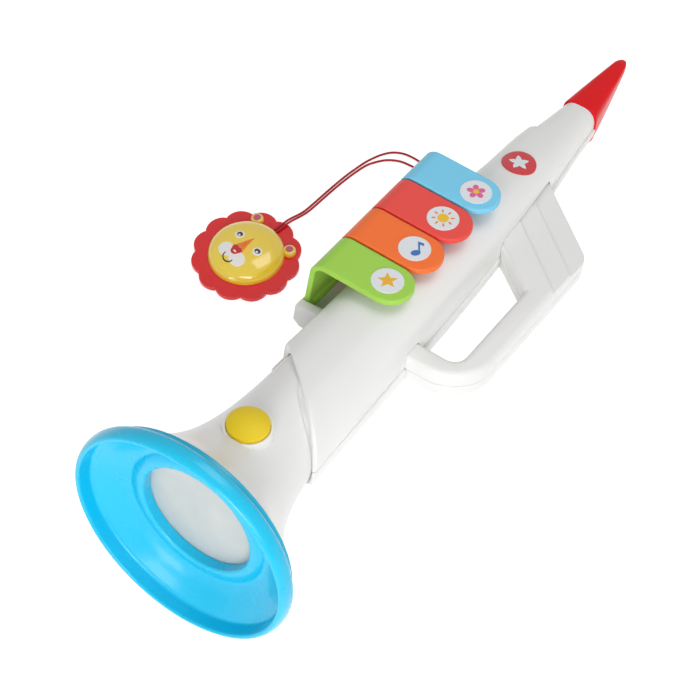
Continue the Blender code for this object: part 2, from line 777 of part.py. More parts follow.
def make_rear_shell(parent, materials):
    """Make the rear body half with its bosses, grille, battery opening and switch slot."""
    down = Vector((0, 0, -1))
    shell = body_shell("body_rear_shell", False)
    bosses = [
        cylinder(
            "boss", BOSS_RADIUS, BOSS_GAP, -boss_start(along, side), Vector((along, side, 0)), down,
        )
        for along, side in screw_places()
    ]
    shell = combine(shell, merged("bosses", bosses), "UNION")
    cuts = []
    for along, side in screw_places():
        seat = -screw_seat(along, side)
        outside = -rear_surface(along, side) + OVERRUN
        bore = SCREW_SHANK_RADIUS + GAP
        head = SCREW_HEAD_RADIUS + GAP
        outline = ((bore, -OVERRUN), (bore, seat), (head, seat), (head, outside))
        cuts.append(spindle("bore", outline, Vector((along, side, 0)), down))
    for k in range(GRILLE_COUNT):
        offset = (k - (GRILLE_COUNT - 1) / 2) * GRILLE_PITCH
        half = math.sqrt(GRILLE_RADIUS ** 2 - offset ** 2)
        low = (SPEAKER_PLACE + offset - GRILLE_SLOT_WIDTH / 2, -half, -BODY_REAR_HEIGHT - OVERRUN)
        high = (SPEAKER_PLACE + offset + GRILLE_SLOT_WIDTH / 2, half, speaker_face() + OVERRUN)
        cuts.append(block("slot", low, high))
    opening = door_bounds(GAP)
    cuts.append(block("opening", *opening))
    slot = SWITCH_THUMB / 2 + SLIDE_GAP
    low = (switch_place() - slot, -slot, rear_surface(switch_place(), 0) - OVERRUN)
    high = (switch_place() + slot + SWITCH_TRAVEL, slot, switch_floor() + OVERRUN)
    cuts.append(block("slot", low, high))
    shell = combine(shell, merged("cuts", cuts), "DIFFERENCE")
    shell = combine(shell, handle_block("window", -1.0, GAP), "DIFFERENCE")
    put_on_stage("body_rear_shell", shell, materials["white"], parent)


def make_body_screws(parent, materials):
    """Make the self-tapping screws that close the body."""
    up = Vector((0, 0, 1))
    for index, (along, side) in enumerate(screw_places()):
        seat = screw_seat(along, side) - GAP
        outline = (
            (SCREW_HEAD_RADIUS * 0.8, seat - SCREW_HEAD_HEIGHT),
            (SCREW_HEAD_RADIUS, seat - SCREW_HEAD_HEIGHT * 0.7),
            (SCREW_HEAD_RADIUS, seat),
            (SCREW_SHANK_RADIUS, seat),
            (SCREW_SHANK_RADIUS, SCREW_BITE - SCREW_SHANK_RADIUS),
            (SCREW_SHANK_RADIUS / 3, SCREW_BITE),
        )
        name = "body_screw_%d" % (index + 1)
        screw = spindle(name, outline, Vector((along, side, 0)), up, 12)
        put_on_stage(name, screw, materials["screw"], parent)


def filleted(corners, radii, steps):
    """Give an outline whose corners are rounded with arcs."""
    points = []
    count = len(corners)
    for i, (corner, radius) in enumerate(zip(corners, radii)):
        if not radius:
            points.append(corner)
            continue
        to_last = (corners[i - 1] - corner).normalized()
        to_next = (corners[(i + 1) % count] - corner).normalized()
        half_angle = to_last.angle(to_next) / 2
        reach = radius / math.tan(half_angle)
        centre = corner + (to_last + to_next).normalized() * (radius / math.sin(half_angle))
        start = corner + to_last * reach - centre
        end = corner + to_next * reach - centre
        turn = math.atan2(start.x * end.y - start.y * end.x, start.dot(end))
        for k in range(steps + 1):
            angle = turn * k / steps
            cos, sin = math.cos(angle), math.sin(angle)
            points.append(centre + Vector((start.x * cos - start.y * sin, start.x * sin + start.y * cos)))
    return points


def grown(outline, distance):
    """Move an outline outwards by a distance, or inwards where it is negative."""
    count = len(outline)
    area = sum(a.x * b.y - a.y * b.x for a, b in zip(outline, outline[1:] + outline[:1]))
    sign = 1.0 if area > 0 else -1.0
    result = []
    for i, point in enumerate(outline):
        before = (point - outline[i - 1]).normalized()
        after = (outline[(i + 1) % count] - point).normalized()
        normal_before = Vector((before.y, -before.x)) * sign
        normal_after = Vector((after.y, -after.x)) * sign
        normal = (normal_before + normal_after).normalized()
        result.append(point + normal * (distance / max(normal.dot(normal_after), 0.5)))
    return result


def handle_root(along):
    """Give how far inside the body's flank the handle's root ends."""
    return HANDLE_TONGUE - front_width(along)


def handle_outline(steps=6):
    """Give the handle's outline in the parting plane, from root to root."""
    post_end = HANDLE_START + HANDLE_POST
    grip_end = post_end + GRIP_LENGTH
    bar = -(HANDLE_REACH - HANDLE_BAR)
    corners = [
        Vector((HANDLE_START, handle_root(HANDLE_START))),
        Vector((HANDLE_START, -HANDLE_REACH)),
        Vector((HANDLE_TIP, -HANDLE_REACH)),
        Vector((HANDLE_WEB_END, handle_root(HANDLE_WEB_END))),
        Vector((grip_end, handle_root(grip_end))),
        Vector((GRIP_FAR, bar)),
        Vector((post_end, bar)),
        Vector((post_end, handle_root(post_end))),
    ]
    radii = (0, HEEL_RADIUS, TIP_RADIUS, 0, 0, GRIP_TIP_RADIUS, GRIP_HEEL_RADIUS, 0)
    return filleted(corners, radii, steps)


def handle_block(name, sign, clearance=0.0):
    """Make one solid handle half with rounded top edges, and room round it where it is a cutter."""
    outline = grown(handle_outline(), clearance) if clearance else handle_outline()
    foot = -OVERRUN if clearance else GAP / 2
    top = HANDLE_HALF_DEPTH + clearance
    edge_shares = ((0.0, 1.0), (0.3, 0.42), (1.0, 0.0))
    rings = [[Vector((p.x, p.y, sign * foot)) for p in outline]]
    for inward, drop in edge_shares:
        height = top - HANDLE_EDGE * drop
        layer = grown(outline, -HANDLE_EDGE * inward) if inward else outline
        rings.append([Vector((p.x, p.y, sign * height)) for p in layer])
    return loft(name, rings)


def web_cutter(low_along, height, sign):
    """Make the slanted cutter that lowers the web beyond one step line."""
    slant = (HANDLE_WEB_END - HANDLE_TIP) / (HANDLE_REACH + handle_root(HANDLE_WEB_END))
    near, far = -HANDLE_REACH - OVERRUN, OVERRUN
    ring = [
        (low_along + slant * (near + HANDLE_REACH), near),
        (HANDLE_WEB_END + HANDLE_REACH, near),
        (HANDLE_WEB_END + HANDLE_REACH, far),
        (low_along + slant * (far + HANDLE_REACH), far),
    ]
    heights = (sign * height, sign * (HANDLE_HALF_DEPTH + OVERRUN))
    return loft("web_cutter", [[Vector((x, y, z)) for x, y in ring] for z in heights])


def make_handle(parent, materials):
    """Make the two hollow handle halves with their stepped webs."""
    for name, sign in (("handle_front_half", 1.0), ("handle_rear_half", -1.0)):
        half = handle_block(name, sign)
        hollow = grown(handle_outline(), -HANDLE_WALL)
        heights = (-sign * OVERRUN, sign * HANDLE_CAVITY)
        cavity = loft("cavity", [[Vector((p.x, p.y, z)) for p in hollow] for z in heights])
        half = combine(half, cavity, "DIFFERENCE")
        for count in (1, 2):
            line = HANDLE_TIP - WEB_STEP_PITCH * (3 - count)
            cutter = web_cutter(line, HANDLE_HALF_DEPTH - WEB_STEP * count, sign)
            half = combine(half, cutter, "DIFFERENCE")
        put_on_stage(name, half, materials["white"], parent)


def make_mouthpiece(parent, materials):
    """Make the red mouthpiece with the spigot that the body halves close round."""
    steps = 28
    start = BODY_END + GAP
    rings = []

    def ring(along, half_width, top, bottom, roundness):
        middle, half = (top + bottom) / 2, (top - bottom) / 2
        points = []
        for k in range(steps):
            angle = 2 * math.pi * k / steps
            side, height = arch_point(angle, half_width, half, roundness)
            points.append(Vector((along, side, middle + math.copysign(height, math.sin(angle)))))
        return points

    narrow = front_width(BODY_END) - BODY_WALL - SLIDE_GAP
    top = front_height(BODY_END) - BODY_WALL - SLIDE_GAP
    bottom = -(rear_height(BODY_END) - BODY_WALL - SLIDE_GAP)
    for along in (start - SPIGOT_LENGTH, start):
        rings.append(ring(along, narrow, top, bottom, REAR_ROUNDNESS))
    for share in MOUTHPIECE_STATION_SHARES:
        end_round = math.sqrt(max(1.0 - max((share - 0.88) / 0.12, 0.0) ** 2 * 0.8, 0.0))
        half_width = MOUTHPIECE_HALF_WIDTH * (1.0 - 0.73 * share ** 1.1) * end_round
        upper = mix(MOUTHPIECE_TOP, MOUTHPIECE_TIP_TOP, share)
        lower = mix(-MOUTHPIECE_BOTTOM, MOUTHPIECE_TIP_BOTTOM, share ** 1.05)
        middle, half = (upper + lower) / 2, (upper - lower) / 2 * end_round
        rings.append(ring(start + MOUTHPIECE_LENGTH * share, half_width, middle + half, middle - half, 3.2))
    put_on_stage("mouthpiece", loft("mouthpiece", rings), materials["red"], parent)


def key_stations():
    """Give the path of a key's outer face from its free end to its foot, with the half widths."""
    half = KEY_WIDTH / 2
    roll_centre = Vector((KEY_BACK - KEY_ROLL_RADIUS, KEY_TOP - KEY_ROLL_RADIUS))
    foot = Vector((HINGE_SIDE + KEY_THICKNESS / 2, HINGE_HEIGHT))
    lean = math.atan2(foot.x - KEY_BACK, roll_centre.y - foot.y)
    stations = []
    for degrees in (80, 65, 50, 36, 22, 10, 0):
        angle = math.radians(degrees)
        place = Vector((KEY_END - half * math.sin(angle), KEY_TOP))
        stations.append((place, Vector((0, 1)), half * math.cos(angle)))
    roll_steps = 8
    for k in range(roll_steps + 1):
        angle = mix(math.pi / 2, lean, k / roll_steps)
        normal = Vector((math.cos(angle), math.sin(angle)))
        stations.append((roll_centre + normal * KEY_ROLL_RADIUS, normal, half))
    stations.append((foot, Vector((math.cos(lean), math.sin(lean))), half))
    return stations


def key_mesh():
    """Make one key about its own middle, with its plunger, foot and bore."""
    rings = []
    for place, normal, half in key_stations():
        under = place - normal * KEY_THICKNESS
        rings.append([
            Vector((-half, place.x, place.y)), Vector((half, place.x, place.y)),
            Vector((half, under.x, under.y)), Vector((-half, under.x, under.y)),
        ])
    plate = rounded_edges(loft("key", rings), KEY_EDGE)
    along = Vector((1, 0, 0))
    hinge = Vector((0, HINGE_SIDE, HINGE_HEIGHT))
    foot = cylinder("foot", FOOT_RADIUS, -KEY_WIDTH / 2, KEY_WIDTH / 2, hinge, along)
    stem_low = BOARD_HEIGHT + BOARD_THICKNESS + DOME_HEIGHT + GAP
    stem_high = KEY_TOP - KEY_THICKNESS / 2
    stem = cylinder("stem", PLUNGER_RADIUS, stem_low, stem_high, Vector((0, PLUNGER_SIDE, 0)), Vector((0, 0, 1)), 12)
    key = combine(plate, merged("added", [foot, stem]), "UNION")
    bore_radius = (ROD_RADIUS + GAP) / math.cos(math.pi / SMALL_STEPS)
    bore = cylinder("bore", bore_radius, -KEY_WIDTH, KEY_WIDTH, hinge, along)
    return combine(key, bore, "DIFFERENCE")


def make_keys(parent, materials):
    """Make the four keys with their labels and silicone domes."""
    colours = ("green", "orange", "red", "blue")
    for index, colour in enumerate(colours):
        place = Vector((key_place(index), 0, 0))
        mesh = key_mesh()
        mesh.transform(Matrix.Translation(place))
        hinge = place + Vector((0, HINGE_SIDE, HINGE_HEIGHT))
        key = put_on_stage("key_" + colour, mesh, materials["key_" + colour], parent, hinge)
        label = cylinder(
            "label", LABEL_RADIUS, KEY_TOP + GAP, KEY_TOP + GAP + LABEL_THICKNESS,
            place + Vector((0, KEY_END + LABEL_RADIUS * LABEL_SHIFT_SHARES[index], 0)), Vector((0, 0, 1)), 24,
        )
        label.transform(Matrix.Translation(-hinge))
        put_on_stage("key_label_" + colour, label, materials["label"], key)
        dome_place = place + Vector((0, PLUNGER_SIDE, 0))
        make_dome("key_dome_" + colour, dome_place, parent, materials)


def rail_range():
    """Give the start and the end of the hinge rail."""
    half = KEY_WIDTH / 2 + RAIL_CLEARANCE + RAIL_END_WALL
    return key_place(0) - half, key_place(3) + half


def make_rail(parent, materials):
    """Make the hinge rail with its two ears, the rod and the cord's anchor."""
    start, end = rail_range()
    stations = 5
    rings = []
    for k in range(stations):
        along = mix(start, end, k / (stations - 1))
        side = body_width(along) + GAP
        rings.append([
            Vector((along, side, RAIL_TOP)),
            Vector((along, RAIL_OUTER_SIDE, RAIL_OUTER_TOP)),
            Vector((along, RAIL_BULGE_SIDE, RAIL_BULGE_HEIGHT)),
            Vector((along, RAIL_BOTTOM_SIDE, RAIL_BOTTOM)),
            Vector((along, side, RAIL_BOTTOM)),
        ])
    rail = loft("key_hinge_rail", rings)
    pocket = block(
        "pocket",
        (start + RAIL_END_WALL, 0, RAIL_FLOOR),
        (end - RAIL_END_WALL, RAIL_BULGE_SIDE + OVERRUN, RAIL_TOP + OVERRUN),
    )
    rail = combine(rail, pocket, "DIFFERENCE")
    hinge = Vector((0, HINGE_SIDE, HINGE_HEIGHT))
    along = Vector((1, 0, 0))
    hole_radius = (ROD_RADIUS + GAP) / math.cos(math.pi / SMALL_STEPS)
    hole = cylinder("hole", hole_radius, start + RAIL_END_WALL / 4, end + OVERRUN, hinge, along)
    rail = combine(rail, hole, "DIFFERENCE")
    put_on_stage("key_hinge_rail", rail, materials["white"], parent)
    rod = cylinder("key_hinge_rod", ROD_RADIUS, start + RAIL_END_WALL / 4 + GAP, end - GAP, hinge, along, 12)
    put_on_stage("key_hinge_rod", rod, materials["spring_steel"], parent)
    low = (end + GAP, HINGE_SIDE - ANCHOR_HALF_WIDTH, HINGE_HEIGHT - ANCHOR_HALF_HEIGHT)
    high = (end + GAP + ANCHOR_LENGTH, HINGE_SIDE + ANCHOR_HALF_WIDTH, HINGE_HEIGHT + ANCHOR_HALF_HEIGHT)
    anchor = rounded_edges(block("cord_anchor", low, high), KEY_EDGE)
    put_on_stage("cord_anchor", anchor, materials["white"], parent)


def make_round_label(parent, materials):
    """Make the round label on the body near the mouthpiece."""
    top = front_height(ROUND_LABEL_PLACE + ROUND_LABEL_RADIUS) + GAP / 2
    rise = front_height(ROUND_LABEL_PLACE - ROUND_LABEL_RADIUS) - front_height(ROUND_LABEL_PLACE + ROUND_LABEL_RADIUS)
    axis = Vector((rise, 0, 2 * ROUND_LABEL_RADIUS)).normalized()
    centre = Vector((ROUND_LABEL_PLACE, 0, top + rise / 2 + GAP))
    label = cylinder("round_label", ROUND_LABEL_RADIUS, 0, LABEL_THICKNESS, centre, axis, 24)
    put_on_stage("round_label", label, materials["red_label"], parent)


def make_board(parent, materials):
    """Make the circuit board under the keys and the button."""
    low, high = BOARD_HEIGHT, BOARD_HEIGHT + BOARD_THICKNESS
    ring = [
        (BOARD_START, -BOARD_HALF_WIDTH), (BOARD_SHOULDER, -BOARD_HALF_WIDTH),
        (BOARD_SHOULDER, -BOARD_NARROW_HALF_WIDTH), (BOARD_END, -BOARD_NARROW_HALF_WIDTH),
        (BOARD_END, BOARD_NARROW_HALF_WIDTH), (BOARD_SHOULDER, BOARD_NARROW_HALF_WIDTH),
        (BOARD_SHOULDER, BOARD_HALF_WIDTH), (BOARD_START, BOARD_HALF_WIDTH),
    ]
    board = loft("circuit_board", [[Vector((x, y, z)) for x, y in ring] for z in (low, high)])
    put_on_stage("circuit_board", board, materials["board"], parent)


def speaker_face():
    """Give the height of the speaker's front face, just clear of the rear shell's inner face."""
    half_width = body_width(SPEAKER_PLACE) - BODY_WALL
    half_height = rear_height(SPEAKER_PLACE) - BODY_WALL
    return -arch_height(SPEAKER_RADIUS, half_width, half_height, REAR_ROUNDNESS) + SPEAKER_CLEARANCE


def make_speaker(parent, materials):
    """Make the speaker that faces the grille."""
    face = speaker_face()
    outline = (
        (SPEAKER_RADIUS, face), (SPEAKER_RADIUS, face + SPEAKER_FLANGE),
        (SPEAKER_MAGNET_RADIUS, face + SPEAKER_FLANGE * 2), (SPEAKER_MAGNET_RADIUS, face + SPEAKER_DEPTH),
    )
    speaker = spindle("speaker", outline, Vector((SPEAKER_PLACE, 0, 0)), Vector((0, 0, 1)), 24)
    put_on_stage("speaker", speaker, materials["speaker"], parent)


def tray_length():
    """Give the inside length of the battery tray."""
    return (
        CONTACT_THICKNESS + CONTACT_SPRING_LENGTH + BATTERY_LENGTH
        + BATTERY_NIPPLE + CONTACT_THICKNESS + 5 * GAP
    )


def tray_half_width():
    """Give the inside half width of the battery tray."""
    return 2 * BATTERY_RADIUS + 2 * GAP


def door_bounds(clearance):
    """Give the corners of the battery opening, grown by a clearance."""
    start = TRAY_START + DOOR_MARGIN - clearance
    end = tray_end() - DOOR_MARGIN + clearance
    half = DOOR_HALF_WIDTH + clearance
    return (start, -half, -BODY_REAR_HEIGHT - OVERRUN), (end, half, TRAY_BOTTOM)


def make_batteries(parent, materials):
    """Make the tray, the two batteries, their contacts and the door."""
    inside, half = tray_length(), tray_half_width()
    start = TRAY_START + TRAY_WALL
    top = BATTERY_HEIGHT + BATTERY_RADIUS + GAP
    outer_low = (TRAY_START, -half - TRAY_WALL, TRAY_BOTTOM + GAP)
    outer_high = (start + inside + TRAY_WALL, half + TRAY_WALL, top + TRAY_WALL)
    tray = block("battery_tray", outer_low, outer_high)
    room = block("room", (start, -half, TRAY_BOTTOM - OVERRUN), (start + inside, half, top))
    put_on_stage("battery_tray", combine(tray, room, "DIFFERENCE"), materials["black"], parent)

    along = Vector((1, 0, 0))
    shoulder = CONTACT_THICKNESS + CONTACT_SPRING_LENGTH + 3 * GAP
    for name, sign in (("left", 1.0), ("right", -1.0)):
        centre = Vector((start, sign * (BATTERY_RADIUS + GAP), BATTERY_HEIGHT))
        outline = [
            (BATTERY_RADIUS, shoulder),
            (BATTERY_RADIUS, shoulder + BATTERY_LENGTH),
            (BATTERY_NIPPLE_RADIUS, shoulder + BATTERY_LENGTH),
            (BATTERY_NIPPLE_RADIUS, shoulder + BATTERY_LENGTH + BATTERY_NIPPLE),
        ]
        cell = spindle("battery_" + name, outline, centre, along, 20)
        put_on_stage("battery_" + name, cell, materials["battery"], parent)
        coil = [
            (CONTACT_SPRING_RADIUS, GAP), (CONTACT_SPRING_RADIUS, GAP + CONTACT_THICKNESS),
            (CONTACT_SPRING_RADIUS / 2, shoulder - GAP),
        ]
        contact = spindle("battery_spring_" + name, coil, centre, along, 12)
        put_on_stage("battery_spring_" + name, contact, materials["spring_steel"], parent)
    plate_low = (start + inside - GAP - CONTACT_THICKNESS, -half + SLIDE_GAP, BATTERY_HEIGHT - CONTACT_SPRING_RADIUS)
    plate_high = (start + inside - GAP, half - SLIDE_GAP, BATTERY_HEIGHT + CONTACT_SPRING_RADIUS)
    plate = block("battery_link_plate", plate_low, plate_high)
    put_on_stage("battery_link_plate", plate, materials["spring_steel"], parent)

    door = combine(body_shell("battery_door", False), block("room", *door_bounds(0.0)), "INTERSECT")
    screw = door_screw_place()
    door = combine(door, cylinder(
        "hole", DOOR_SCREW_RADIUS + GAP, -OVERRUN, BODY_REAR_HEIGHT + OVERRUN, screw, Vector((0, 0, -1)), 12,
    ), "DIFFERENCE")
    put_on_stage("battery_door", door, materials["white"], parent)
    head = rear_surface(screw.x, 0) - GAP
    outline = (
        (SCREW_HEAD_RADIUS * 0.8, head - SCREW_HEAD_HEIGHT / 2),
        (SCREW_HEAD_RADIUS, head),
        (DOOR_SCREW_RADIUS, head),
        (DOOR_SCREW_RADIUS, TRAY_BOTTOM - BODY_WALL / 2),
    )
    screw_mesh = spindle("battery_door_screw", outline, screw, Vector((0, 0, 1)), 12)
    put_on_stage("battery_door_screw", screw_mesh, materials["screw"], parent)


def door_screw_place():
    """Give the place of the battery door's screw, between the cells at the door's end."""
    return Vector((door_bounds(0.0)[1][0] - 2 * SCREW_HEAD_RADIUS, 0, 0))


def switch_place():
    """Give the place along the body of the switch's knob, clear of the battery tray."""
    return tray_end() + SWITCH_MARGIN


def switch_room():
    """Give the low end, the high end and the half width of the room for the knob's flange."""
    side = SWITCH_THUMB / 2 + SWITCH_FLANGE + SLIDE_GAP
    return switch_place() - side, switch_place() + SWITCH_TRAVEL + side, side


def switch_floor():
    """Give the height at which the power switch clears the rear shell's inner face."""
    _, high, side = switch_room()
    return rear_inside(high + SWITCH_WALL, side + SWITCH_WALL)


def make_power_switch(parent, materials):
    """Make the switch body and the knob that slides in its slot."""
    floor = switch_floor() + SLIDE_GAP
    thumb = SWITCH_THUMB / 2
    flange = thumb + SWITCH_FLANGE
    low_x, high_x, room_side = switch_room()
    room_top = floor + SWITCH_FLANGE_THICKNESS + 2 * SLIDE_GAP
    case = block(
        "power_switch_body",
        (low_x - SWITCH_WALL, -room_side - SWITCH_WALL, floor),
        (high_x + SWITCH_WALL, room_side + SWITCH_WALL, floor + SWITCH_HEIGHT),
    )
    room = block("room", (low_x, -room_side, floor - OVERRUN), (high_x, room_side, room_top))
    put_on_stage("power_switch_body", combine(case, room, "DIFFERENCE"), materials["black"], parent)
    stem = block(
        "stem",
        (switch_place() - thumb, -thumb, rear_surface(switch_place(), 0) - SWITCH_PROUD),
        (switch_place() + thumb, thumb, floor + SLIDE_GAP + SWITCH_FLANGE_THICKNESS / 2),
    )
    plate = block(
        "plate",
        (switch_place() - flange, -flange, floor + SLIDE_GAP),
        (switch_place() + flange, flange, floor + SLIDE_GAP + SWITCH_FLANGE_THICKNESS),
    )
    knob = combine(stem, plate, "UNION")
    put_on_stage("power_switch_knob", knob, materials["black"], parent, Vector((switch_place(), 0, floor)))


def charm_point(radius, angle, height):
    """Give a place on the charm in floor coordinates."""
    turn = CHARM_TURN + angle
    return Vector((CHARM_X + radius * math.cos(turn), CHARM_Y + radius * math.sin(turn), height))


def make_charm(parent, materials):
    """Make the scalloped disc and the domed face with its ears."""
    points = CHARM_SCALLOPS * 8
    edge_shares = ((0.5, 0.0), (0.0, 0.16), (0.0, 0.84), (0.5, 1.0))
    rings = []
    for inward, up in edge_shares:
        ring = []
        for k in range(points):
            angle = 2 * math.pi * k / points
            bump = abs(math.cos(CHARM_SCALLOPS * angle / 2)) ** 0.75
            radius = CHARM_RADIUS - CHARM_SCALLOP_DEPTH * (1.0 - bump)
            radius -= CHARM_THICKNESS * 0.3 * inward
            ring.append(charm_point(radius, angle, CHARM_THICKNESS * up))
        rings.append(ring)
    disc = loft("charm_disc", rings)
    up = Vector((0, 0, 1))
    post = cylinder(
        "post", CHARM_POST_RADIUS, CHARM_THICKNESS / 2, CHARM_THICKNESS + CHARM_POST_HEIGHT,
        charm_point(CHARM_POST_PLACE, CORD_NOTCH_TURN, 0), up, 12,
    )
    put_on_stage("charm_disc", combine(disc, post, "UNION"), materials["mane"], parent)

    base = CHARM_THICKNESS + GAP
    steps = 32
    dome_degrees = (0, 22, 40, 56, 70, 82)
    middle = charm_point(0, 0, base)
    outer = []
    for degrees in dome_degrees:
        radius, height = arch_point(math.radians(degrees), FACE_RADIUS, FACE_HEIGHT, FACE_ROUNDNESS)
        outer.append((radius, height))
    outer.append((FACE_WALL / 4, FACE_HEIGHT))
    dome = spindle("charm_face", outer, middle, up, steps)
    lobes = []
    for sign in (1.0, -1.0):
        place = charm_point(EAR_DISTANCE, sign * EAR_TURN, base)
        shares = ((1.0, 0.0), (1.0, 0.6), (0.8, 1.0))
        outline = [(EAR_RADIUS * wide, EAR_THICKNESS * tall) for wide, tall in shares]
        lobes.append(spindle("ear", outline, place, up, SMALL_STEPS))
    face = combine(dome, merged("ears", lobes), "UNION")
    inner = [(radius - FACE_WALL, height - FACE_WALL) for radius, height in outer[1:-1]]
    inner = [(inner[0][0], -OVERRUN)] + inner + [(FACE_WALL / 4, FACE_HEIGHT - FACE_WALL)]
    face = combine(face, spindle("hollow", inner, middle, up, steps), "DIFFERENCE")
    half = CORD_NOTCH_HALF_WIDTH
    turn = Matrix.Rotation(CHARM_TURN + CORD_NOTCH_TURN, 4, "Z")
    notch = block(
        "notch",
        (CHARM_POST_PLACE, -half, base - OVERRUN),
        (FACE_RADIUS + OVERRUN, half, base + CORD_NOTCH_HEIGHT),
    )
    notch.transform(Matrix.Translation(Vector((CHARM_X, CHARM_Y, 0))) @ turn)
    put_on_stage("charm_face", combine(face, notch, "DIFFERENCE"), materials["face"], parent)


# The cord's route from the anchor over the floor, round the charm's post and back
CORD_ROUTE = (
    (0.0692, 0.0378, 0.0243), (0.0730, 0.0384, 0.0229), (0.0766, 0.0403, 0.0196),
    (0.0806, 0.0432, 0.0146), (0.0846, 0.0472, 0.0087), (0.0877, 0.0522, 0.0035),
    (0.0895, 0.0576, 0.0009), (0.0899, 0.0630, 0.0007), (0.0892, 0.0686, 0.0007),
    (0.0865, 0.0738, 0.0007), (0.0820, 0.0776, 0.0007), (0.0764, 0.0804, 0.0007),
    (0.0709, 0.0823, 0.0007), (0.0592, 0.0849, 0.0007), (0.0463, 0.0867, 0.0007),
    (0.0305, 0.0885, 0.0007), (0.0187, 0.0905, 0.0007), (0.0167, 0.0909, 0.0020),
    (0.0153, 0.0911, 0.0034), (0.0132, 0.0915, 0.0041), (0.0090, 0.0924, 0.0041),
    (0.0035, 0.0935, 0.0041), (0.0000, 0.0951, 0.0041), (-0.0028, 0.0967, 0.0041),
    (-0.0053, 0.0970, 0.0041), (-0.0074, 0.0948, 0.0041), (-0.0063, 0.0919, 0.0041),
    (-0.0038, 0.0913, 0.0041), (-0.0007, 0.0917, 0.0041), (0.0032, 0.0919, 0.0041),
    (0.0086, 0.0908, 0.0041), (0.0129, 0.0900, 0.0041), (0.0150, 0.0896, 0.0034),
    (0.0165, 0.0893, 0.0020), (0.0184, 0.0889, 0.0007), (0.0303, 0.0869, 0.0007),
    (0.0461, 0.0851, 0.0007), (0.0589, 0.0832, 0.0007), (0.0698, 0.0806, 0.0007),
    (0.0750, 0.0780, 0.0007), (0.0804, 0.0734, 0.0007), (0.0838, 0.0672, 0.0007),
    (0.0846, 0.0610, 0.0008), (0.0835, 0.0546, 0.0026), (0.0813, 0.0482, 0.0074),
    (0.0786, 0.0426, 0.0130), (0.0759, 0.0382, 0.0186), (0.0728, 0.0358, 0.0226),
    (0.0692, 0.0354, 0.0243),
)


def smooth_route(points, steps):
    """Read a smooth curve through the route's points."""
    route = [Vector(point) for point in points]
    padded = [route[0] * 2 - route[1]] + route + [route[-1] * 2 - route[-2]]
    curve = []
    for i in range(1, len(padded) - 2):
        a, b, c, d = padded[i - 1:i + 3]
        for k in range(steps):
            t = k / steps
            curve.append(0.5 * (
                2 * b + (c - a) * t + (2 * a - 5 * b + 4 * c - d) * t ** 2
                + (3 * b - a - 3 * c + d) * t ** 3
            ))
    curve.append(route[-1])
    return curve


def thinned(curve):
    """Keep points of a dense curve at an even step, closer together where it turns tightly."""
    kept = [curve[0]]
    run = 0.0
    for before, point, after in zip(curve, curve[1:], curve[2:]):
        run += (point - before).length
        ahead = after - point
        turn = (point - before).angle(ahead) / max(ahead.length, GAP / 10)
        step = CORD_TURN_STEP if turn * CORD_STEP > 0.5 else CORD_STEP
        if run >= step:
            kept.append(point)
            run = 0.0
    if (kept[-1] - curve[-1]).length < CORD_DIAMETER:
        kept.pop()
    kept.append(curve[-1])
    return kept


def make_cord(parent, materials):
    """Make the doubled cord as one tube along its route."""
    points = thinned(smooth_route(CORD_ROUTE, 24))
    curve = bpy.data.curves.new("charm_cord", "CURVE")
    curve.dimensions = "3D"
    curve.bevel_depth = CORD_DIAMETER / 2
    curve.bevel_resolution = 2
    curve.use_fill_caps = True
    spline = curve.splines.new("POLY")
    spline.points.add(len(points) - 1)
    for slot, point in zip(spline.points, points):
        slot.co = (*point, 1.0)
    curve.materials.append(materials["cord"])
    cord = bpy.data.objects.new("charm_cord", curve)
    bpy.context.scene.collection.objects.link(cord)
    cord.parent = parent
    length = sum((b - a).length for a, b in zip(points, points[1:]))
    print("cord: %d points, %.1f mm" % (len(points), length / 0.001))


def lay_down(frame):
    """Tilt the trumpet onto its rim and tail, and centre it over the floor's origin."""
    foot = BELL_START + LIP_DEPTH * RIM_FOOT_SHARE
    tilt = math.atan2(BELL_RADIUS - rear_height(BODY_END) - GAP / 2, BODY_END - foot)
    frame.rotation_euler = (0.0, tilt, 0.0)
    frame.location.z = BELL_RADIUS * math.cos(tilt) + foot * math.sin(tilt)
    bpy.context.view_layer.update()
    graph = bpy.context.evaluated_depsgraph_get()
    reach = []
    for thing in bpy.data.objects:
        if thing.type == "MESH" and frame in (thing.parent, thing.parent and thing.parent.parent):
            shape = thing.evaluated_get(graph)
            reach += [(shape.matrix_world @ vertex.co).x for vertex in shape.data.vertices]
    frame.location.x = -(min(reach) + max(reach)) / 2
    bpy.context.view_layer.update()


def main():
    """Build the whole trumpet."""
    for thing in list(bpy.data.objects):
        bpy.data.objects.remove(thing)
    materials = make_materials()
    frame = bpy.data.objects.new("trumpet_frame", None)
    bpy.context.scene.collection.objects.link(frame)
    floor = bpy.data.objects.new("floor_frame", None)
    bpy.context.scene.collection.objects.link(floor)
    make_bell(frame, materials)
    make_horn(frame, materials)
    make_button(frame, materials)
    make_front_shell(frame, materials)
    make_rear_shell(frame, materials)
    make_body_screws(frame, materials)
    make_handle(frame, materials)
    make_mouthpiece(frame, materials)
    make_keys(frame, materials)
    make_rail(frame, materials)
    make_round_label(frame, materials)
    make_board(frame, materials)
    make_speaker(frame, materials)
    make_batteries(frame, materials)
    make_power_switch(frame, materials)
    make_charm(floor, materials)
    make_cord(floor, materials)
    lay_down(frame)


main()
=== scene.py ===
"""Toy trumpet with four hinged keys, a push button, a lit bell and a charm on a cord.

The trumpet's own frame has +X along the horn from the bell to the mouthpiece, +Y towards the
side where the keys are hinged and +Z through the keys. laid_frame() sets it on the floor.
"""

import json
from math import atan2, copysign, cos, exp, hypot, pi, radians, sin, sqrt, tan, tau

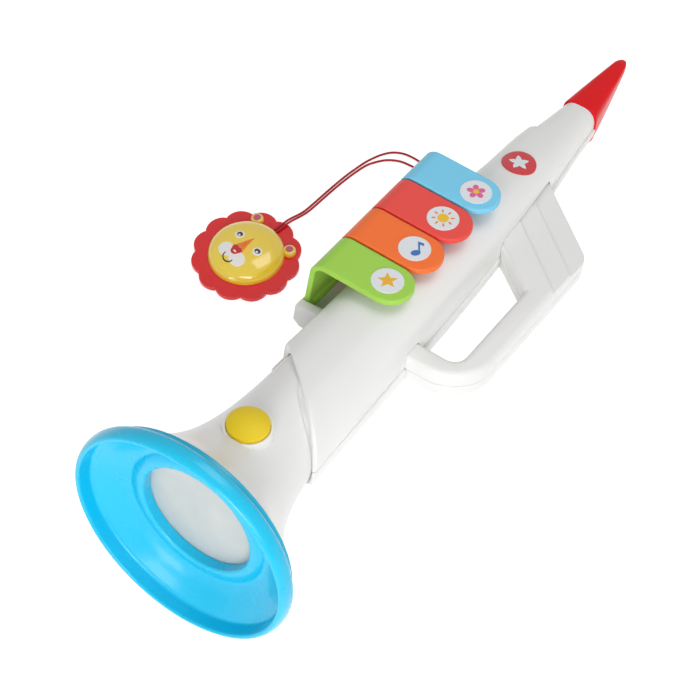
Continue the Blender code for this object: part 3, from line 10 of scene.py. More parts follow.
import bmesh
import bpy
from bpy.props import FloatProperty, FloatVectorProperty, IntProperty, PointerProperty
from bpy.types import NodeSocket, Operator, Panel, PropertyGroup, Scene
from mathutils import Matrix, Vector


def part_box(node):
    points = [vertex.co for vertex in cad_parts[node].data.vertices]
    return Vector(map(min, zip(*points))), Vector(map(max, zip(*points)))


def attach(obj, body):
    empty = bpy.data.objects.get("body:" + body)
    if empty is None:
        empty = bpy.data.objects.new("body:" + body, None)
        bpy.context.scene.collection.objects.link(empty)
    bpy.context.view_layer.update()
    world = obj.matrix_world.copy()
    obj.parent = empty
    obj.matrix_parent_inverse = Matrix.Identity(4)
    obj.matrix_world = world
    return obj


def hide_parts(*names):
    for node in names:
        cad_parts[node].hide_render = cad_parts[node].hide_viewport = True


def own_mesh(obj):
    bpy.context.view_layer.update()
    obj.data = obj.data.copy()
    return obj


bl_info = {
    "name": "Toy Trumpet",
    "version": (1, 0, 0),
    "blender": (4, 5, 0),
    "location": "View3D > Sidebar > Trumpet",
    "description": "Builds a toy trumpet with coloured keys, a lit bell and a charm on a cord",
    "category": "Object",
}

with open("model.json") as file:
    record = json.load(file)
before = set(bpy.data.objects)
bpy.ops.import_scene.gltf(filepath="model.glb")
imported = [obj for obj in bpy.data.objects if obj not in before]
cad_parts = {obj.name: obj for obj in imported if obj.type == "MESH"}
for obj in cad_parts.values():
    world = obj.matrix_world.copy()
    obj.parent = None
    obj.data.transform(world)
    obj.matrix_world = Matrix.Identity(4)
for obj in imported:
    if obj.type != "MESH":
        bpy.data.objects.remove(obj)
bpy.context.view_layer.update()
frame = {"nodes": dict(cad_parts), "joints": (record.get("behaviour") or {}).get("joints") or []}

MM = 0.001
GAP = 0.3 * MM
SLIDE_GAP = 0.4 * MM
OVERRUN = 3.0 * MM
WELD = 0.002 * MM
SEAT_GAP = 0.05 * MM
FILM_GAP = 0.02 * MM
AHEAD = Vector((1.0, 0.0, 0.0))
UP = Vector((0.0, 0.0, 1.0))
COLOURS = ("green", "orange", "red", "blue")

# The keys' hinges lie along the horn, which gives the way that the trumpet lies on the floor
HINGE_JOINTS = {joint["name"]: joint for joint in frame["joints"]}
ALONG = Vector(HINGE_JOINTS["green_key_press"]["axis"]).normalized()
ACROSS = Vector((0.0, 1.0, 0.0))
UPWARDS = ALONG.cross(ACROSS).normalized()

# Shares of the body's length, of its half width and of its front and rear heights
BODY_TAPER_SHARES = (
    (0.000, 1.020, 1.000, 1.000), (0.039, 0.990, 0.973, 0.984), (0.113, 0.970, 0.951, 0.972),
    (0.318, 0.925, 0.924, 0.964), (0.382, 0.918, 0.913, 0.952), (0.495, 0.873, 0.867, 0.913),
    (0.608, 0.806, 0.798, 0.853), (0.721, 0.720, 0.711, 0.772), (0.834, 0.608, 0.601, 0.675),
    (0.912, 0.504, 0.502, 0.597), (1.000, 0.403, 0.403, 0.512),
)

# Shares from the lens lip out to the rim, and of the lip's depth; behind, from the tube to the horn
FLARE_FACE_SHARES = (
    (0.000, 1.000), (0.036, 0.952), (0.133, 0.959), (0.208, 1.027), (0.259, 1.092), (0.342, 1.068),
    (0.485, 0.932), (0.638, 0.730), (0.780, 0.555), (0.845, 0.480), (0.862, 0.260), (0.872, 0.080),
    (0.890, 0.012), (0.925, 0.000), (0.960, 0.045), (0.988, 0.160), (1.000, 0.300), (1.000, 0.420),
    (0.978, 0.540), (0.935, 0.620),
)
FLARE_BACK_SHARES = ((0.88, 0.940), (0.77, 1.100), (0.50, 1.270), (0.17, 1.340))


def mix(low, high, share):
    """Give the value that lies the given share of the way from low to high."""
    return low + (high - low) * share


def clamp(value, low, high):
    """Keep a value between two others."""
    return max(low, min(high, value))


def ease(share):
    """Give a smooth rise from 0 to 1 for a share that is held between them."""
    held = clamp(share, 0.0, 1.0)
    return held * held * (3.0 - 2.0 * held)


def linear(code):
    """Turn an sRGB hex colour into linear red, green, blue and alpha."""
    values = [int(code[start:start + 2], 16) / 255.0 for start in (1, 3, 5)]
    lights = [v / 12.92 if v <= 0.04045 else ((v + 0.055) / 1.055) ** 2.4 for v in values]
    return (*lights, 1.0)


# Sizes and colours that a user would change

def metres(name, description, default):
    """Give a length property."""
    return FloatProperty(name=name, description=description, default=default, unit="LENGTH")


def hex_colour(name, description, code):
    """Give a colour property whose default is an sRGB hex value."""
    return FloatVectorProperty(
        name=name, description=description, size=4, subtype="COLOR", default=linear(code),
        min=0.0, max=1.0)


class BellSettings(PropertyGroup):
    """The blue flare and its light window."""

    start: metres("Rim place", "Where the lip's depth is measured from", -0.00425)
    radius: metres("Rim radius", "Outer radius of the bell's rim", 0.05885)
    lip_radius: metres("Window radius", "Radius of the light window's opening", 0.0296)
    lip_depth: metres("Window depth", "Depth of the window's lip behind the rim", 0.0147)
    tube_wall: metres("Tube wall", "Wall of the tube that holds the window", 0.0022)
    lens_place: metres("Window place", "Where the window sits along the horn", 0.0155)
    lens_crown: metres("Window crown", "How far the window bulges", 0.0015)
    colour: hex_colour("Flare colour", "Blue of the bell's flare", "#0AC0E8")
    lens_colour: hex_colour("Window colour", "Milky white of the window", "#CDCCC6")


class HornSettings(PropertyGroup):
    """The white horn, whose radius falls off exponentially."""

    start: metres("Start", "Where the horn starts behind the rim", 0.0086)
    end: metres("End", "Where the horn ends inside the body", 0.1120)
    overhang: metres("Rim overhang", "How far the rim stands past the horn", 0.0047)
    throat_radius: metres("Throat radius", "Radius that the horn narrows to", 0.0215)
    flare_length: metres("Flare length", "Length of the flare's exponential fall", 0.0235)
    wall: metres("Wall", "Thickness of the horn's wall", 0.0022)
    steps: IntProperty(name="Steps", description="Faces round half of the horn", default=96, min=12)


class ButtonSettings(PropertyGroup):
    """The round push button on the horn."""

    place: metres("Place", "Middle of the button along the horn", 0.0472)
    radius: metres("Radius", "Radius of the button", 0.0100)
    proud: metres("Proud", "Height of its edge over the collar", 0.0016)
    crown: metres("Crown", "Height of its dome", 0.0026)
    collar: metres("Collar", "Wall of the collar", 0.0013)
    depth: metres("Depth", "Depth of its bore", 0.0128)
    colour: hex_colour("Button colour", "Yellow of the button", "#EED01F")


class BodySettings(PropertyGroup):
    """The two long body shells."""

    start: metres("Start", "Where the taper starts along the horn", 0.0600)
    end: metres("End", "Where the body ends", 0.3430)
    half_width: metres("Half width", "Half width at the start", 0.0268)
    front_height: metres("Front height", "Height of the front shell at the start", 0.0263)
    rear_height: metres("Rear height", "Depth of the rear shell at the start", 0.0252)
    wall: metres("Wall", "Thickness of the shells", 0.0020)
    ledge: metres("Parting ledge", "Step of the rear shell at the seam", 0.0012)
    edge: metres("Lip rounding", "Rounding of the lips over the horn", 0.0016)
    colour: hex_colour("Body colour", "White of the shells, the horn and the handle", "#EEEEEC")


class HandleSettings(PropertyGroup):
    """The hollow side grip with its stepped web."""

    start: metres("Start", "Near side of the post", 0.1423)
    post: metres("Post", "Width of the post", 0.0119)
    reach: metres("Reach", "Reach of the grip from the horn's axis", 0.0577)
    bar: metres("Bar", "Width of the grip's bar", 0.0124)
    half_depth: metres("Half depth", "Half of the grip's thickness", 0.00835)
    tip: metres("Tip", "Where the bar's outer side ends", 0.2535)
    web_end: metres("Web end", "Where the web meets the body", 0.2895)
    grip_length: metres("Grip length", "Length of the gap along the body", 0.0813)
    grip_far: metres("Gap's far corner", "Far corner of the gap at the bar", 0.2145)
    edge: metres("Edge", "Rounding of its outer edges", 0.0030)
    step: metres("Web step", "Height of each step in the web", 0.0012)
    step_pitch: metres("Step pitch", "Spacing of the steps along the bar", 0.0160)


class MouthpieceSettings(PropertyGroup):
    """The red mouthpiece."""

    length: metres("Length", "Length past the body", 0.0450)
    half_width: metres("Half width", "Half width at the body", 0.0104)
    colour: hex_colour("Mouthpiece colour", "Red of the mouthpiece", "#E60C16")


class KeySettings(PropertyGroup):
    """The four keys, their rail and their labels."""

    first: metres("First key", "Middle of the first key", 0.1573)
    pitch: metres("Pitch", "Spacing of the keys", 0.0255)
    width: metres("Width", "Width of each key", 0.0243)
    top: metres("Top", "Height of the keys' top face", 0.0324)
    thickness: metres("Thickness", "Thickness of the keys", 0.0030)
    back: metres("Back", "Where the keys roll over", 0.0362)
    roll_radius: metres("Roll radius", "Radius of the roll at the back", 0.0085)
    hinge_side: metres("Hinge side", "How far out the hinge's axis lies", 0.0366)
    label_radius: metres("Label radius", "Radius of the round labels", 0.0080)
    green: hex_colour("Green", "Colour of the first key", "#A6D953")
    orange: hex_colour("Orange", "Colour of the second key", "#FF7834")
    red: hex_colour("Coral red", "Colour of the third key", "#F25048")
    blue: hex_colour("Sky blue", "Colour of the fourth key", "#80D5F7")


class CharmSettings(PropertyGroup):
    """The round lion charm that lies on the floor, and its cord."""

    x: metres("X", "Middle of the charm along X", -0.0138)
    y: metres("Y", "Middle of the charm along Y", 0.0960)
    turn: FloatProperty(
        name="Turn", description="Way that the top of the face points", default=radians(-15.3),
        unit="ROTATION")
    radius: metres("Radius", "Radius of the mane", 0.02858)
    thickness: metres("Thickness", "Thickness of the mane", 0.0030)
    scallops: IntProperty(name="Scallops", description="Number of the mane's scallops", default=12, min=3)
    face_radius: metres("Face radius", "Radius of the domed face", 0.0198)
    face_height: metres("Face height", "Height of the domed face", 0.0080)
    cord_diameter: metres("Cord diameter", "Thickness of the cord", 0.0012)
    mane_colour: hex_colour("Mane colour", "Red of the mane", "#E61A1E")
    face_colour: hex_colour("Face colour", "Golden yellow of the face", "#F6D632")
    cord_colour: hex_colour("Cord colour", "Dark red of the cord", "#C21022")


class StageSettings(PropertyGroup):
    """The floor, the light and the camera."""

    lens: FloatProperty(name="Lens", description="Focal length on a 36 mm sensor", default=113.143, min=20.0)
    floor_size: metres("Floor", "Width of the floor", 6.0)
    sky: FloatProperty(name="Sky light", description="Strength of the even light all round", default=0.39)
    key: FloatProperty(name="Key light", description="Power of the front lamp in watts", default=9.9)
    top: FloatProperty(name="Top light", description="Power of the lamp overhead", default=4.3)
    fill: FloatProperty(name="Fill light", description="Power of the lamp between them", default=2.9)
    low: FloatProperty(name="Low light", description="Power of the lamp before the bell", default=1.7)
    glow: FloatProperty(name="Floor glow", description="Strength of the card's own glow", default=0.62)


SETTINGS = {
    "bell": BellSettings, "horn": HornSettings, "button": ButtonSettings, "body": BodySettings,
    "handle": HandleSettings, "mouthpiece": MouthpieceSettings, "keys": KeySettings,
    "charm": CharmSettings, "stage": StageSettings,
}


def reader(name):
    """Give a short function that reads one group of settings from the scene."""
    return lambda: getattr(bpy.context.scene, "trumpet_" + name)


bell, horn, button, body, handle, mouthpiece, keys, charm, stage = map(reader, SETTINGS)


def laid_frame():
    """Give the matrix that lays the trumpet's own frame on the floor, from the first key's hinge."""
    hinge = Vector(HINGE_JOINTS["green_key_press"]["pos_m"])
    origin = hinge - ALONG * keys().first - ACROSS * keys().hinge_side
    matrix = Matrix((ALONG, ACROSS, UPWARDS)).transposed().to_4x4()
    matrix.translation = origin
    return matrix


# Mesh helpers

def put_in_scene(name, data):
    """Make an object of a mesh, a lamp or a camera and link it to the scene."""
    thing = bpy.data.objects.new(name, data)
    bpy.context.scene.collection.objects.link(thing)
    return thing


def circle(steps):
    """Give the cosine and the sine of evenly spaced angles round a circle."""
    angles = [tau * k / steps for k in range(steps)]
    return [(cos(angle), sin(angle)) for angle in angles]


def loft(name, rings, close_length=False):
    """Make a closed solid through rings of points, which end in flat faces or meet in a loop."""
    work = bmesh.new()
    rows = [[work.verts.new(point) for point in ring] for ring in rings]
    if close_length:
        rows.append(rows[0])
    count = len(rows[0])
    for low, high in zip(rows, rows[1:]):
        for i in range(count):
            j = (i + 1) % count
            work.faces.new((low[i], low[j], high[j], high[i]))
    if not close_length:
        work.faces.new(rows[0][::-1])
        work.faces.new(rows[-1])
    bmesh.ops.remove_doubles(work, verts=work.verts, dist=WELD)
    bmesh.ops.recalc_face_normals(work, faces=work.faces)
    mesh = bpy.data.meshes.new(name)
    work.to_mesh(mesh)
    work.free()
    return mesh


def turned(name, profile, steps):
    """Turn a closed outline of radius and height about the horn's axis."""
    turn = UP.rotation_difference(AHEAD).to_matrix()
    rings = [
        [turn @ Vector((radius * x, radius * y, height)) for radius, height in profile]
        for x, y in circle(steps)
    ]
    return loft(name, rings, close_length=True)


def spindle(name, profile, centre, axis, steps):
    """Turn an open outline of radius and height, from axis to axis, about a free axis."""
    turn = UP.rotation_difference(axis).to_matrix()
    return loft(name, [
        [centre + turn @ Vector((radius * x, radius * y, height)) for x, y in circle(steps)]
        for radius, height in profile
    ])


def cylinder(name, radius, low, high, centre, axis, steps=48):
    """Make a plain cylinder between two heights on a free axis."""
    return spindle(name, ((radius, low), (radius, high)), centre, axis, steps)


def block(name, low, high):
    """Make a box between two corners."""
    ring = [(low[0], low[1]), (high[0], low[1]), (high[0], high[1]), (low[0], high[1])]
    return loft(name, [[Vector((x, y, z)) for x, y in ring] for z in (low[2], high[2])])


def merged(name, meshes):
    """Put several separate solids in one mesh, with the material slots of each kept in order."""
    work = bmesh.new()
    materials = []
    for mesh in meshes:
        start = len(work.faces)
        work.from_mesh(mesh)
        work.faces.ensure_lookup_table()
        shift = len(materials)
        for face in work.faces[start:]:
            face.material_index += shift
        materials += list(mesh.materials)
        bpy.data.meshes.remove(mesh)
    mesh = bpy.data.meshes.new(name)
    work.to_mesh(mesh)
    work.free()
    for material in materials:
        mesh.materials.append(material)
    return mesh


def combine(mesh, tool, operation):
    """Join, cut or intersect one mesh with another and give the result."""
    target, other = put_in_scene("target", mesh), put_in_scene("tool", tool)
    modifier = target.modifiers.new("combine", "BOOLEAN")
    modifier.operation = operation
    modifier.solver = "EXACT"
    modifier.object = other
    graph = bpy.context.evaluated_depsgraph_get()
    result = bpy.data.meshes.new_from_object(target.evaluated_get(graph))
    for thing, data in ((target, mesh), (other, tool)):
        bpy.data.objects.remove(thing)
        bpy.data.meshes.remove(data)
    return result


def cut(mesh, tool):
    """Cut one mesh with another and give the result."""
    return combine(mesh, tool, "DIFFERENCE")


def rounded_edges(mesh, width, segments=3, sharper_than=50.0):
    """Round the sharp edges of a mesh."""
    work = bmesh.new()
    work.from_mesh(mesh)
    limit = radians(sharper_than)
    sharp = [e for e in work.edges if len(e.link_faces) == 2 and e.calc_face_angle() > limit]
    bmesh.ops.bevel(work, geom=sharp, offset=width, segments=segments, affect="EDGES", profile=0.5)
    work.to_mesh(mesh)
    work.free()
    return mesh


def smooth_outline(points, steps):
    """Read a smooth curve through an open outline of points in the plane or in space."""
    route = [Vector(point) for point in points]
    padded = [route[0] * 2 - route[1]] + route + [route[-1] * 2 - route[-2]]
    curve = []
    for i in range(1, len(padded) - 2):
        a, b, c, d = padded[i - 1:i + 3]
        for k in range(steps):
            t = k / steps
            curve.append(0.5 * (
                2 * b + (c - a) * t + (2 * a - 5 * b + 4 * c - d) * t ** 2
                + (3 * b - a - 3 * c + d) * t ** 3))
    curve.append(route[-1])
    return curve


def finish_piece(name, mesh, materials, stands_for=(), body_name="trumpet", sharp=32.0, place=None):
    """Place a finished mesh in the world, give it its finish and let it ride on its body."""
    if not mesh.polygons:
        raise RuntimeError(name + " has no faces")
    mesh.transform(laid_frame() if place is None else place)
    if materials:
        mesh.materials.clear()
        for material in materials:
            mesh.materials.append(material)
    mesh.shade_smooth()
    mesh.set_sharp_from_angle(angle=radians(sharp))
    mesh.name = name
    piece = put_in_scene(name, mesh)
    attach(piece, body_name)
    if stands_for:
        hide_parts(*stands_for)
    return piece


# Node helpers

def fill(tree, node, inputs):
    """Set a node's sockets to values, or link them to other nodes' outputs."""
    for name, value in inputs.items():
        socket = node.inputs[name]
        if isinstance(value, NodeSocket):
            tree.links.new(value, socket)
        else:
            socket.default_value = value


def add_node(tree, kind, inputs=None, **settings):
    """Add a node, set its properties and fill its sockets."""
    node = tree.nodes.new(kind)
    for name, value in settings.items():
        setattr(node, name, value)
    fill(tree, node, inputs or {})
    return node


def finish_tree(tree, output, geometry, material):
    """End a Geometry Nodes tree: real geometry that wears its material."""
    real = add_node(tree, "GeometryNodeRealizeInstances", {"Geometry": geometry})
    painted = add_node(tree, "GeometryNodeSetMaterial", {
        "Geometry": real.outputs[0], "Material": material})
    tree.links.new(painted.outputs[0], output.inputs["Geometry"])
    return tree


def geometry_tree(name, inputs):
    """Start a Geometry Nodes tree with named inputs and give it with its input and output nodes."""
    tree = bpy.data.node_groups.new(name, "GeometryNodeTree")
    for label, kind in inputs:
        tree.interface.new_socket(label, in_out="INPUT", socket_type="NodeSocket" + kind)
    tree.interface.new_socket("Geometry", in_out="OUTPUT", socket_type="NodeSocketGeometry")
    return tree, add_node(tree, "NodeGroupInput").outputs, add_node(tree, "NodeGroupOutput")


def baked(tree, values, points=(), edges=()):
    """Run a Geometry Nodes tree on points and edges, or on nothing, and give its plain mesh."""
    seed = bpy.data.meshes.new("seed")
    seed.from_pydata(list(points), list(edges), [])
    carrier = put_in_scene("carrier", seed)
    modifier = carrier.modifiers.new("build", "NODES")
    modifier.node_group = tree
    for item in tree.interface.items_tree:
        if item.in_out == "INPUT" and item.name in values:
            modifier[item.identifier] = values[item.name]
    graph = bpy.context.evaluated_depsgraph_get()
    graph.update()
    mesh = bpy.data.meshes.new_from_object(carrier.evaluated_get(graph))
    carrier.modifiers.remove(modifier)
    bpy.data.objects.remove(carrier)
    bpy.data.meshes.remove(seed)
    return mesh


def shell_by_rule_tree():
    """Build the tree for a turned shell whose radius falls off exponentially along it."""
    sizes = ("Start", "End", "Mouth", "Throat", "Flare", "Wall", "From", "Sweep", "Lift")
    tree, given, output = geometry_tree("exponential_horn", [
        *[(name, "Float") for name in sizes],
        ("Steps", "Int"), ("Rows", "Int"), ("Material", "Material"),
    ])
    values = {name: given[name] for name in sizes}
    position = add_node(tree, "GeometryNodeInputPosition").outputs[0]
    values.update(add_node(tree, "ShaderNodeSeparateXYZ", {"Vector": position}).outputs.items())

    # Name, operation and terms of each sum: the grid's place on the outer face, then the wall's depth
    sums = (
        ("from_end", "ADD", "X", 0.5), ("share", "POWER", "from_end", 1.5),
        ("length", "SUBTRACT", "End", "Start"), ("run", "MULTIPLY", "share", "length"),
        ("along", "ADD", "run", "Start"), ("back", "MULTIPLY", "run", -1.0),
        ("back_share", "DIVIDE", "back", "Flare"), ("fall", "EXPONENT", "back_share"),
        ("spread", "SUBTRACT", "Mouth", "Throat"), ("radius", "MULTIPLY_ADD", "spread", "fall", "Throat"),
        ("round", "ADD", "Y", 0.5), ("angle", "MULTIPLY_ADD", "round", "Sweep", "From"),
        ("cosine", "COSINE", "angle"), ("side", "MULTIPLY", "radius", "cosine"),
        ("sine", "SINE", "angle"), ("height", "MULTIPLY_ADD", "radius", "sine", "Lift"),
        ("passed", "SUBTRACT", "Start", "X"), ("passed_share", "DIVIDE", "passed", "Flare"),
        ("left", "EXPONENT", "passed_share"), ("drop", "MULTIPLY", "spread", "left"),
        ("slope", "DIVIDE", "drop", "Flare"), ("square", "MULTIPLY_ADD", "slope", "slope", 1.0),
        ("depth", "SQRT", "square"), ("wall", "MULTIPLY", "depth", "Wall"),
        ("inward", "MULTIPLY", "wall", -1.0), ("lifted", "SUBTRACT", "Z", "Lift"),
    )
    for name, operation, *terms in sums:
        inputs = {index: values.get(term, term) for index, term in enumerate(terms)}
        values[name] = add_node(tree, "ShaderNodeMath", inputs, operation=operation).outputs[0]

    grid = add_node(tree, "GeometryNodeMeshGrid", {
        "Size X": 1.0, "Size Y": 1.0, "Vertices X": given["Rows"], "Vertices Y": given["Steps"]})
    point = add_node(tree, "ShaderNodeCombineXYZ", {
        "X": values["along"], "Y": values["side"], "Z": values["height"]})
    skin = add_node(tree, "GeometryNodeSetPosition", {
        "Geometry": grid.outputs["Mesh"], "Position": point.outputs[0]})
    wall = add_node(tree, "GeometryNodeExtrudeMesh", {
        "Mesh": skin.outputs[0], "Offset Scale": 0.0, "Individual": False}, mode="FACES")
    outwards = add_node(tree, "ShaderNodeCombineXYZ", {"Y": values["Y"], "Z": values["lifted"]})
    radial = add_node(tree, "ShaderNodeVectorMath", {0: outwards.outputs[0]}, operation="NORMALIZE")
    inwards = add_node(tree, "ShaderNodeVectorMath", {
        0: radial.outputs[0], "Scale": values["inward"]}, operation="SCALE")
    inner = add_node(tree, "GeometryNodeSetPosition", {
        "Geometry": wall.outputs["Mesh"], "Selection": wall.outputs["Top"], "Offset": inwards.outputs[0]})
    outer = add_node(tree, "GeometryNodeFlipFaces", {"Mesh": skin.outputs[0]})
    both = add_node(tree, "GeometryNodeJoinGeometry", {"Geometry": outer.outputs[0]})
    tree.links.new(inner.outputs[0], both.inputs["Geometry"])
    closed = add_node(tree, "GeometryNodeMergeByDistance", {
        "Geometry": both.outputs[0], "Distance": WELD})
    return finish_tree(tree, output, closed.outputs[0], given["Material"])


def copies_tree():
    """Build the tree that sets one piece on each point, turned a step further each time."""
    tree, given, output = geometry_tree("copies_on_points", [
        ("Geometry", "Geometry"), ("Piece", "Object"),
        ("Turn", "Float"), ("Material", "Material"),
    ])
    piece = add_node(tree, "GeometryNodeObjectInfo", {"Object": given["Piece"]})
    index = add_node(tree, "GeometryNodeInputIndex")
    turn = add_node(tree, "ShaderNodeMath", {
        0: index.outputs[0], 1: given["Turn"]}, operation="MULTIPLY")
    rotation = add_node(tree, "ShaderNodeCombineXYZ", {"Z": turn.outputs[0]})
    copies = add_node(tree, "GeometryNodeInstanceOnPoints", {
        "Points": given["Geometry"], "Instance": piece.outputs["Geometry"],
        "Rotation": rotation.outputs[0]})
    return finish_tree(tree, output, copies.outputs[0], given["Material"])


def copied(mesh, points, material, turn=0.0):
    """Set copies of a mesh on points with Geometry Nodes and give them as one plain mesh."""
    tree = bpy.data.node_groups.get("copies_on_points") or copies_tree()
    piece = put_in_scene("piece", mesh)
    result = baked(tree, {"Piece": piece, "Turn": turn, "Material": material}, points)
    bpy.data.objects.remove(piece)
    bpy.data.meshes.remove(mesh)
    return result


# Materials

def darker(colour, share):
    """Give a colour with its light cut to a share."""
    return tuple(channel * share for channel in colour[:3]) + (1.0,)


def shader_of(name):
    """Start a material and give it with its tree, its Principled shader and Object coordinates."""
    material = bpy.data.materials.new(name)
    material.use_nodes = True
    tree = material.node_tree
    place = add_node(tree, "ShaderNodeTexCoord").outputs["Object"]
    return material, tree, tree.nodes["Principled BSDF"], place


def clouded(name, colours, cloud_mm, inputs):
    """Start a material whose two near colours drift into each other, and give it with its nodes."""
    material, tree, shader, place = shader_of(name)
    cloud = add_node(tree, "ShaderNodeTexNoise", {
        "Vector": place, "Scale": 1.0 / (cloud_mm * MM)}).outputs["Fac"]
    tint = add_node(tree, "ShaderNodeMix", {
        "Factor": cloud, 6: colours[0], 7: colours[1]}, data_type="RGBA")
    fill(tree, shader, {"Base Color": tint.outputs[2], **inputs})
    return material, tree, shader, place, cloud


def moulded_plastic(name, colour, roughness, grain_mm, grain_depth, coat=0.0, mottle=0.03, gleam=0.5,
                    soft=0.0):
    """Injection-moulded plastic: an even colour with faint flow mottling, a fine spark-eroded grain
    in its skin and a sheen that varies a little from place to place."""
    colours = tuple(colour), darker(colour, 1.0 - mottle)
    material, tree, shader, place, cloud = clouded(name, colours, 18.0, {
        "IOR": 1.53, "Specular IOR Level": gleam, "Coat Weight": coat, "Coat Roughness": 0.12})
    sheen = add_node(tree, "ShaderNodeMapRange", {
        "Value": cloud, "From Min": 0.3, "From Max": 0.7,
        "To Min": roughness - 0.03, "To Max": roughness + 0.03})
    grain = add_node(tree, "ShaderNodeTexNoise", {
        "Vector": place, "Scale": 1.0 / (grain_mm * MM), "Roughness": 0.6})
    bump = add_node(tree, "ShaderNodeBump", {
        "Height": grain.outputs["Fac"], "Strength": 0.25, "Distance": grain_depth * MM})
    fill(tree, shader, {"Roughness": sheen.outputs["Result"], "Normal": bump.outputs["Normal"]})
    if soft:
        fill(tree, shader, {
            "Subsurface Weight": soft, "Subsurface Radius": (1.2 * MM, 1.1 * MM, 1.0 * MM),
            "Subsurface Scale": 1.0})
    return material


def printed_film(name, code, roughness=0.34):
    """Printed polypropylene film: flat ink under a clear film, with a fine dot screen."""
    material, tree, shader, place = shader_of(name)
    colour = linear(code)
    dots = add_node(tree, "ShaderNodeTexVoronoi", {"Vector": place, "Scale": 1.0 / (0.25 * MM)})
    tint = add_node(tree, "ShaderNodeMix", {
        "Factor": dots.outputs["Distance"], 6: colour, 7: darker(colour, 0.94)}, data_type="RGBA")
    fill(tree, shader, {
        "Base Color": tint.outputs[2], "Roughness": roughness, "IOR": 1.49, "Coat Weight": 0.15,
        "Coat Roughness": 0.15})
    return material


def braided_polyester(name, colour, diameter):
    """Braided polyester cord: slanting strands that cross, with soft fibres that catch the light.
    They are drawn at a pitch of 1.4 mm, twice the real one, so that they show. The hollows between
    the strands are coloured darker, which is painted shade."""
    material, tree, shader, _ = shader_of(name)
    along = add_node(tree, "ShaderNodeTexCoord").outputs["UV"]
    strands = []
    for slant in (1.0, -1.0):
        turned_uv = add_node(tree, "ShaderNodeMapping", {
            "Vector": along, "Scale": (4.0 * slant, 1.0 / (1.4 * MM), 1.0)})
        total = add_node(tree, "ShaderNodeVectorMath", {
            0: turned_uv.outputs[0], 1: (tau, tau, 0.0)}, operation="DOT_PRODUCT")
        wave = add_node(tree, "ShaderNodeMath", {0: total.outputs["Value"]}, operation="SINE")
        strands.append(wave.outputs[0])
    weave = add_node(tree, "ShaderNodeMath", {0: strands[0], 1: strands[1]}, operation="MAXIMUM")
    depth = add_node(tree, "ShaderNodeMapRange", {
        "Value": weave.outputs[0], "From Min": -0.6, "From Max": 1.0})
    # Painted shade: the colour falls to 0.66 of itself in the hollows between the strands
    tint = add_node(tree, "ShaderNodeMix", {
        "Factor": depth.outputs["Result"], 6: darker(colour, 0.66), 7: tuple(colour)}, data_type="RGBA")
    bump = add_node(tree, "ShaderNodeBump", {
        "Height": depth.outputs["Result"], "Strength": 0.6, "Distance": diameter * 0.08})
    fill(tree, shader, {
        "Base Color": tint.outputs[2], "Normal": bump.outputs["Normal"], "Roughness": 0.62,
        "Sheen Weight": 0.1, "Sheen Roughness": 0.4})
    return material


def plated_steel(name, code, roughness, brush_mm):
    """Plated steel: a metal with fine lines from drawing or rolling, duller in the hollows."""
    material, tree, shader, place = shader_of(name)
    lines = add_node(tree, "ShaderNodeTexNoise", {
        "Vector": place, "Scale": 1.0 / (brush_mm * MM), "Detail": 3.0, "Roughness": 0.7})
    dull = add_node(tree, "ShaderNodeMapRange", {
        "Value": lines.outputs["Fac"], "To Min": roughness - 0.08, "To Max": roughness + 0.12})
    bump = add_node(tree, "ShaderNodeBump", {
        "Height": lines.outputs["Fac"], "Strength": 0.2, "Distance": 0.01 * MM})
    fill(tree, shader, {
        "Base Color": linear(code), "Metallic": 1.0, "Roughness": dull.outputs["Result"],
        "Normal": bump.outputs["Normal"]})
    return material


def circuit_laminate(name):
    """Glass-epoxy laminate under green solder mask, with a faint weave and darker copper below it."""
    material, tree, shader, place = shader_of(name)
    weave = add_node(tree, "ShaderNodeTexChecker", {
        "Vector": place, "Scale": 1.0 / (0.9 * MM),
        "Color1": linear("#1F6B3A"), "Color2": linear("#1B6236")})
    tracks = add_node(tree, "ShaderNodeTexBrick", {
        "Vector": place, "Scale": 1.0 / (8.0 * MM), "Mortar Size": 0.06,
        "Color1": weave.outputs["Color"], "Color2": weave.outputs["Color"],
        "Mortar": linear("#2F8A4C")})
    fill(tree, shader, {"Base Color": tracks.outputs["Color"], "Roughness": 0.3})
    return material


def clear_epoxy(name):
    """Water-clear cast epoxy of a light-emitting diode, with slight swirls."""
    colours = linear("#EEF3F6"), linear("#DDE6EC")
    return clouded(name, colours, 2.0, {"Roughness": 0.08, "IOR": 1.5, "Transmission Weight": 0.6})[0]


def silicone_rubber(name):
    """Grey silicone rubber: matt, with a powdery skin."""
    colours = linear("#B2B6BA"), linear("#C2C6CA")
    return clouded(name, colours, 0.8, {"Roughness": 0.7, "IOR": 1.41})[0]


def once(name, build, *details, **more):
    """Give a material by name, building it the first time that it is asked for."""
    return bpy.data.materials.get(name) or build(name, *details, **more)


def white_abs():
    """Give the white ABS of the shells: bright and satin, with a fine moulded grain."""
    return once(
        "moulded_white_abs", moulded_plastic, body().colour, roughness=0.36, grain_mm=0.45,
        grain_depth=0.014, coat=0.08, mottle=0.02)


def finish_white(name, mesh, node, body_name="trumpet", sharp=32.0):
    """Finish a piece that stands for one CAD node and is made of the shells' white ABS."""
    finish_piece(name, mesh, [white_abs()], [node], body_name, sharp)


def black_abs():
    """Give the black ABS of the switch and the battery tray: matt, with a coarse moulded grain."""
    black = linear("#202226")
    return once(
        "moulded_black_abs", moulded_plastic, black, roughness=0.5, grain_mm=0.4, grain_depth=0.02)


def blue_abs():
    """Give the blue ABS of the bell: glossy, polished in the mould, a little deeper where it is thick."""
    return once(
        "polished_blue_abs", moulded_plastic, bell().colour, roughness=0.27, grain_mm=0.9,
        grain_depth=0.006, coat=0.15, mottle=0.05, gleam=0.32)


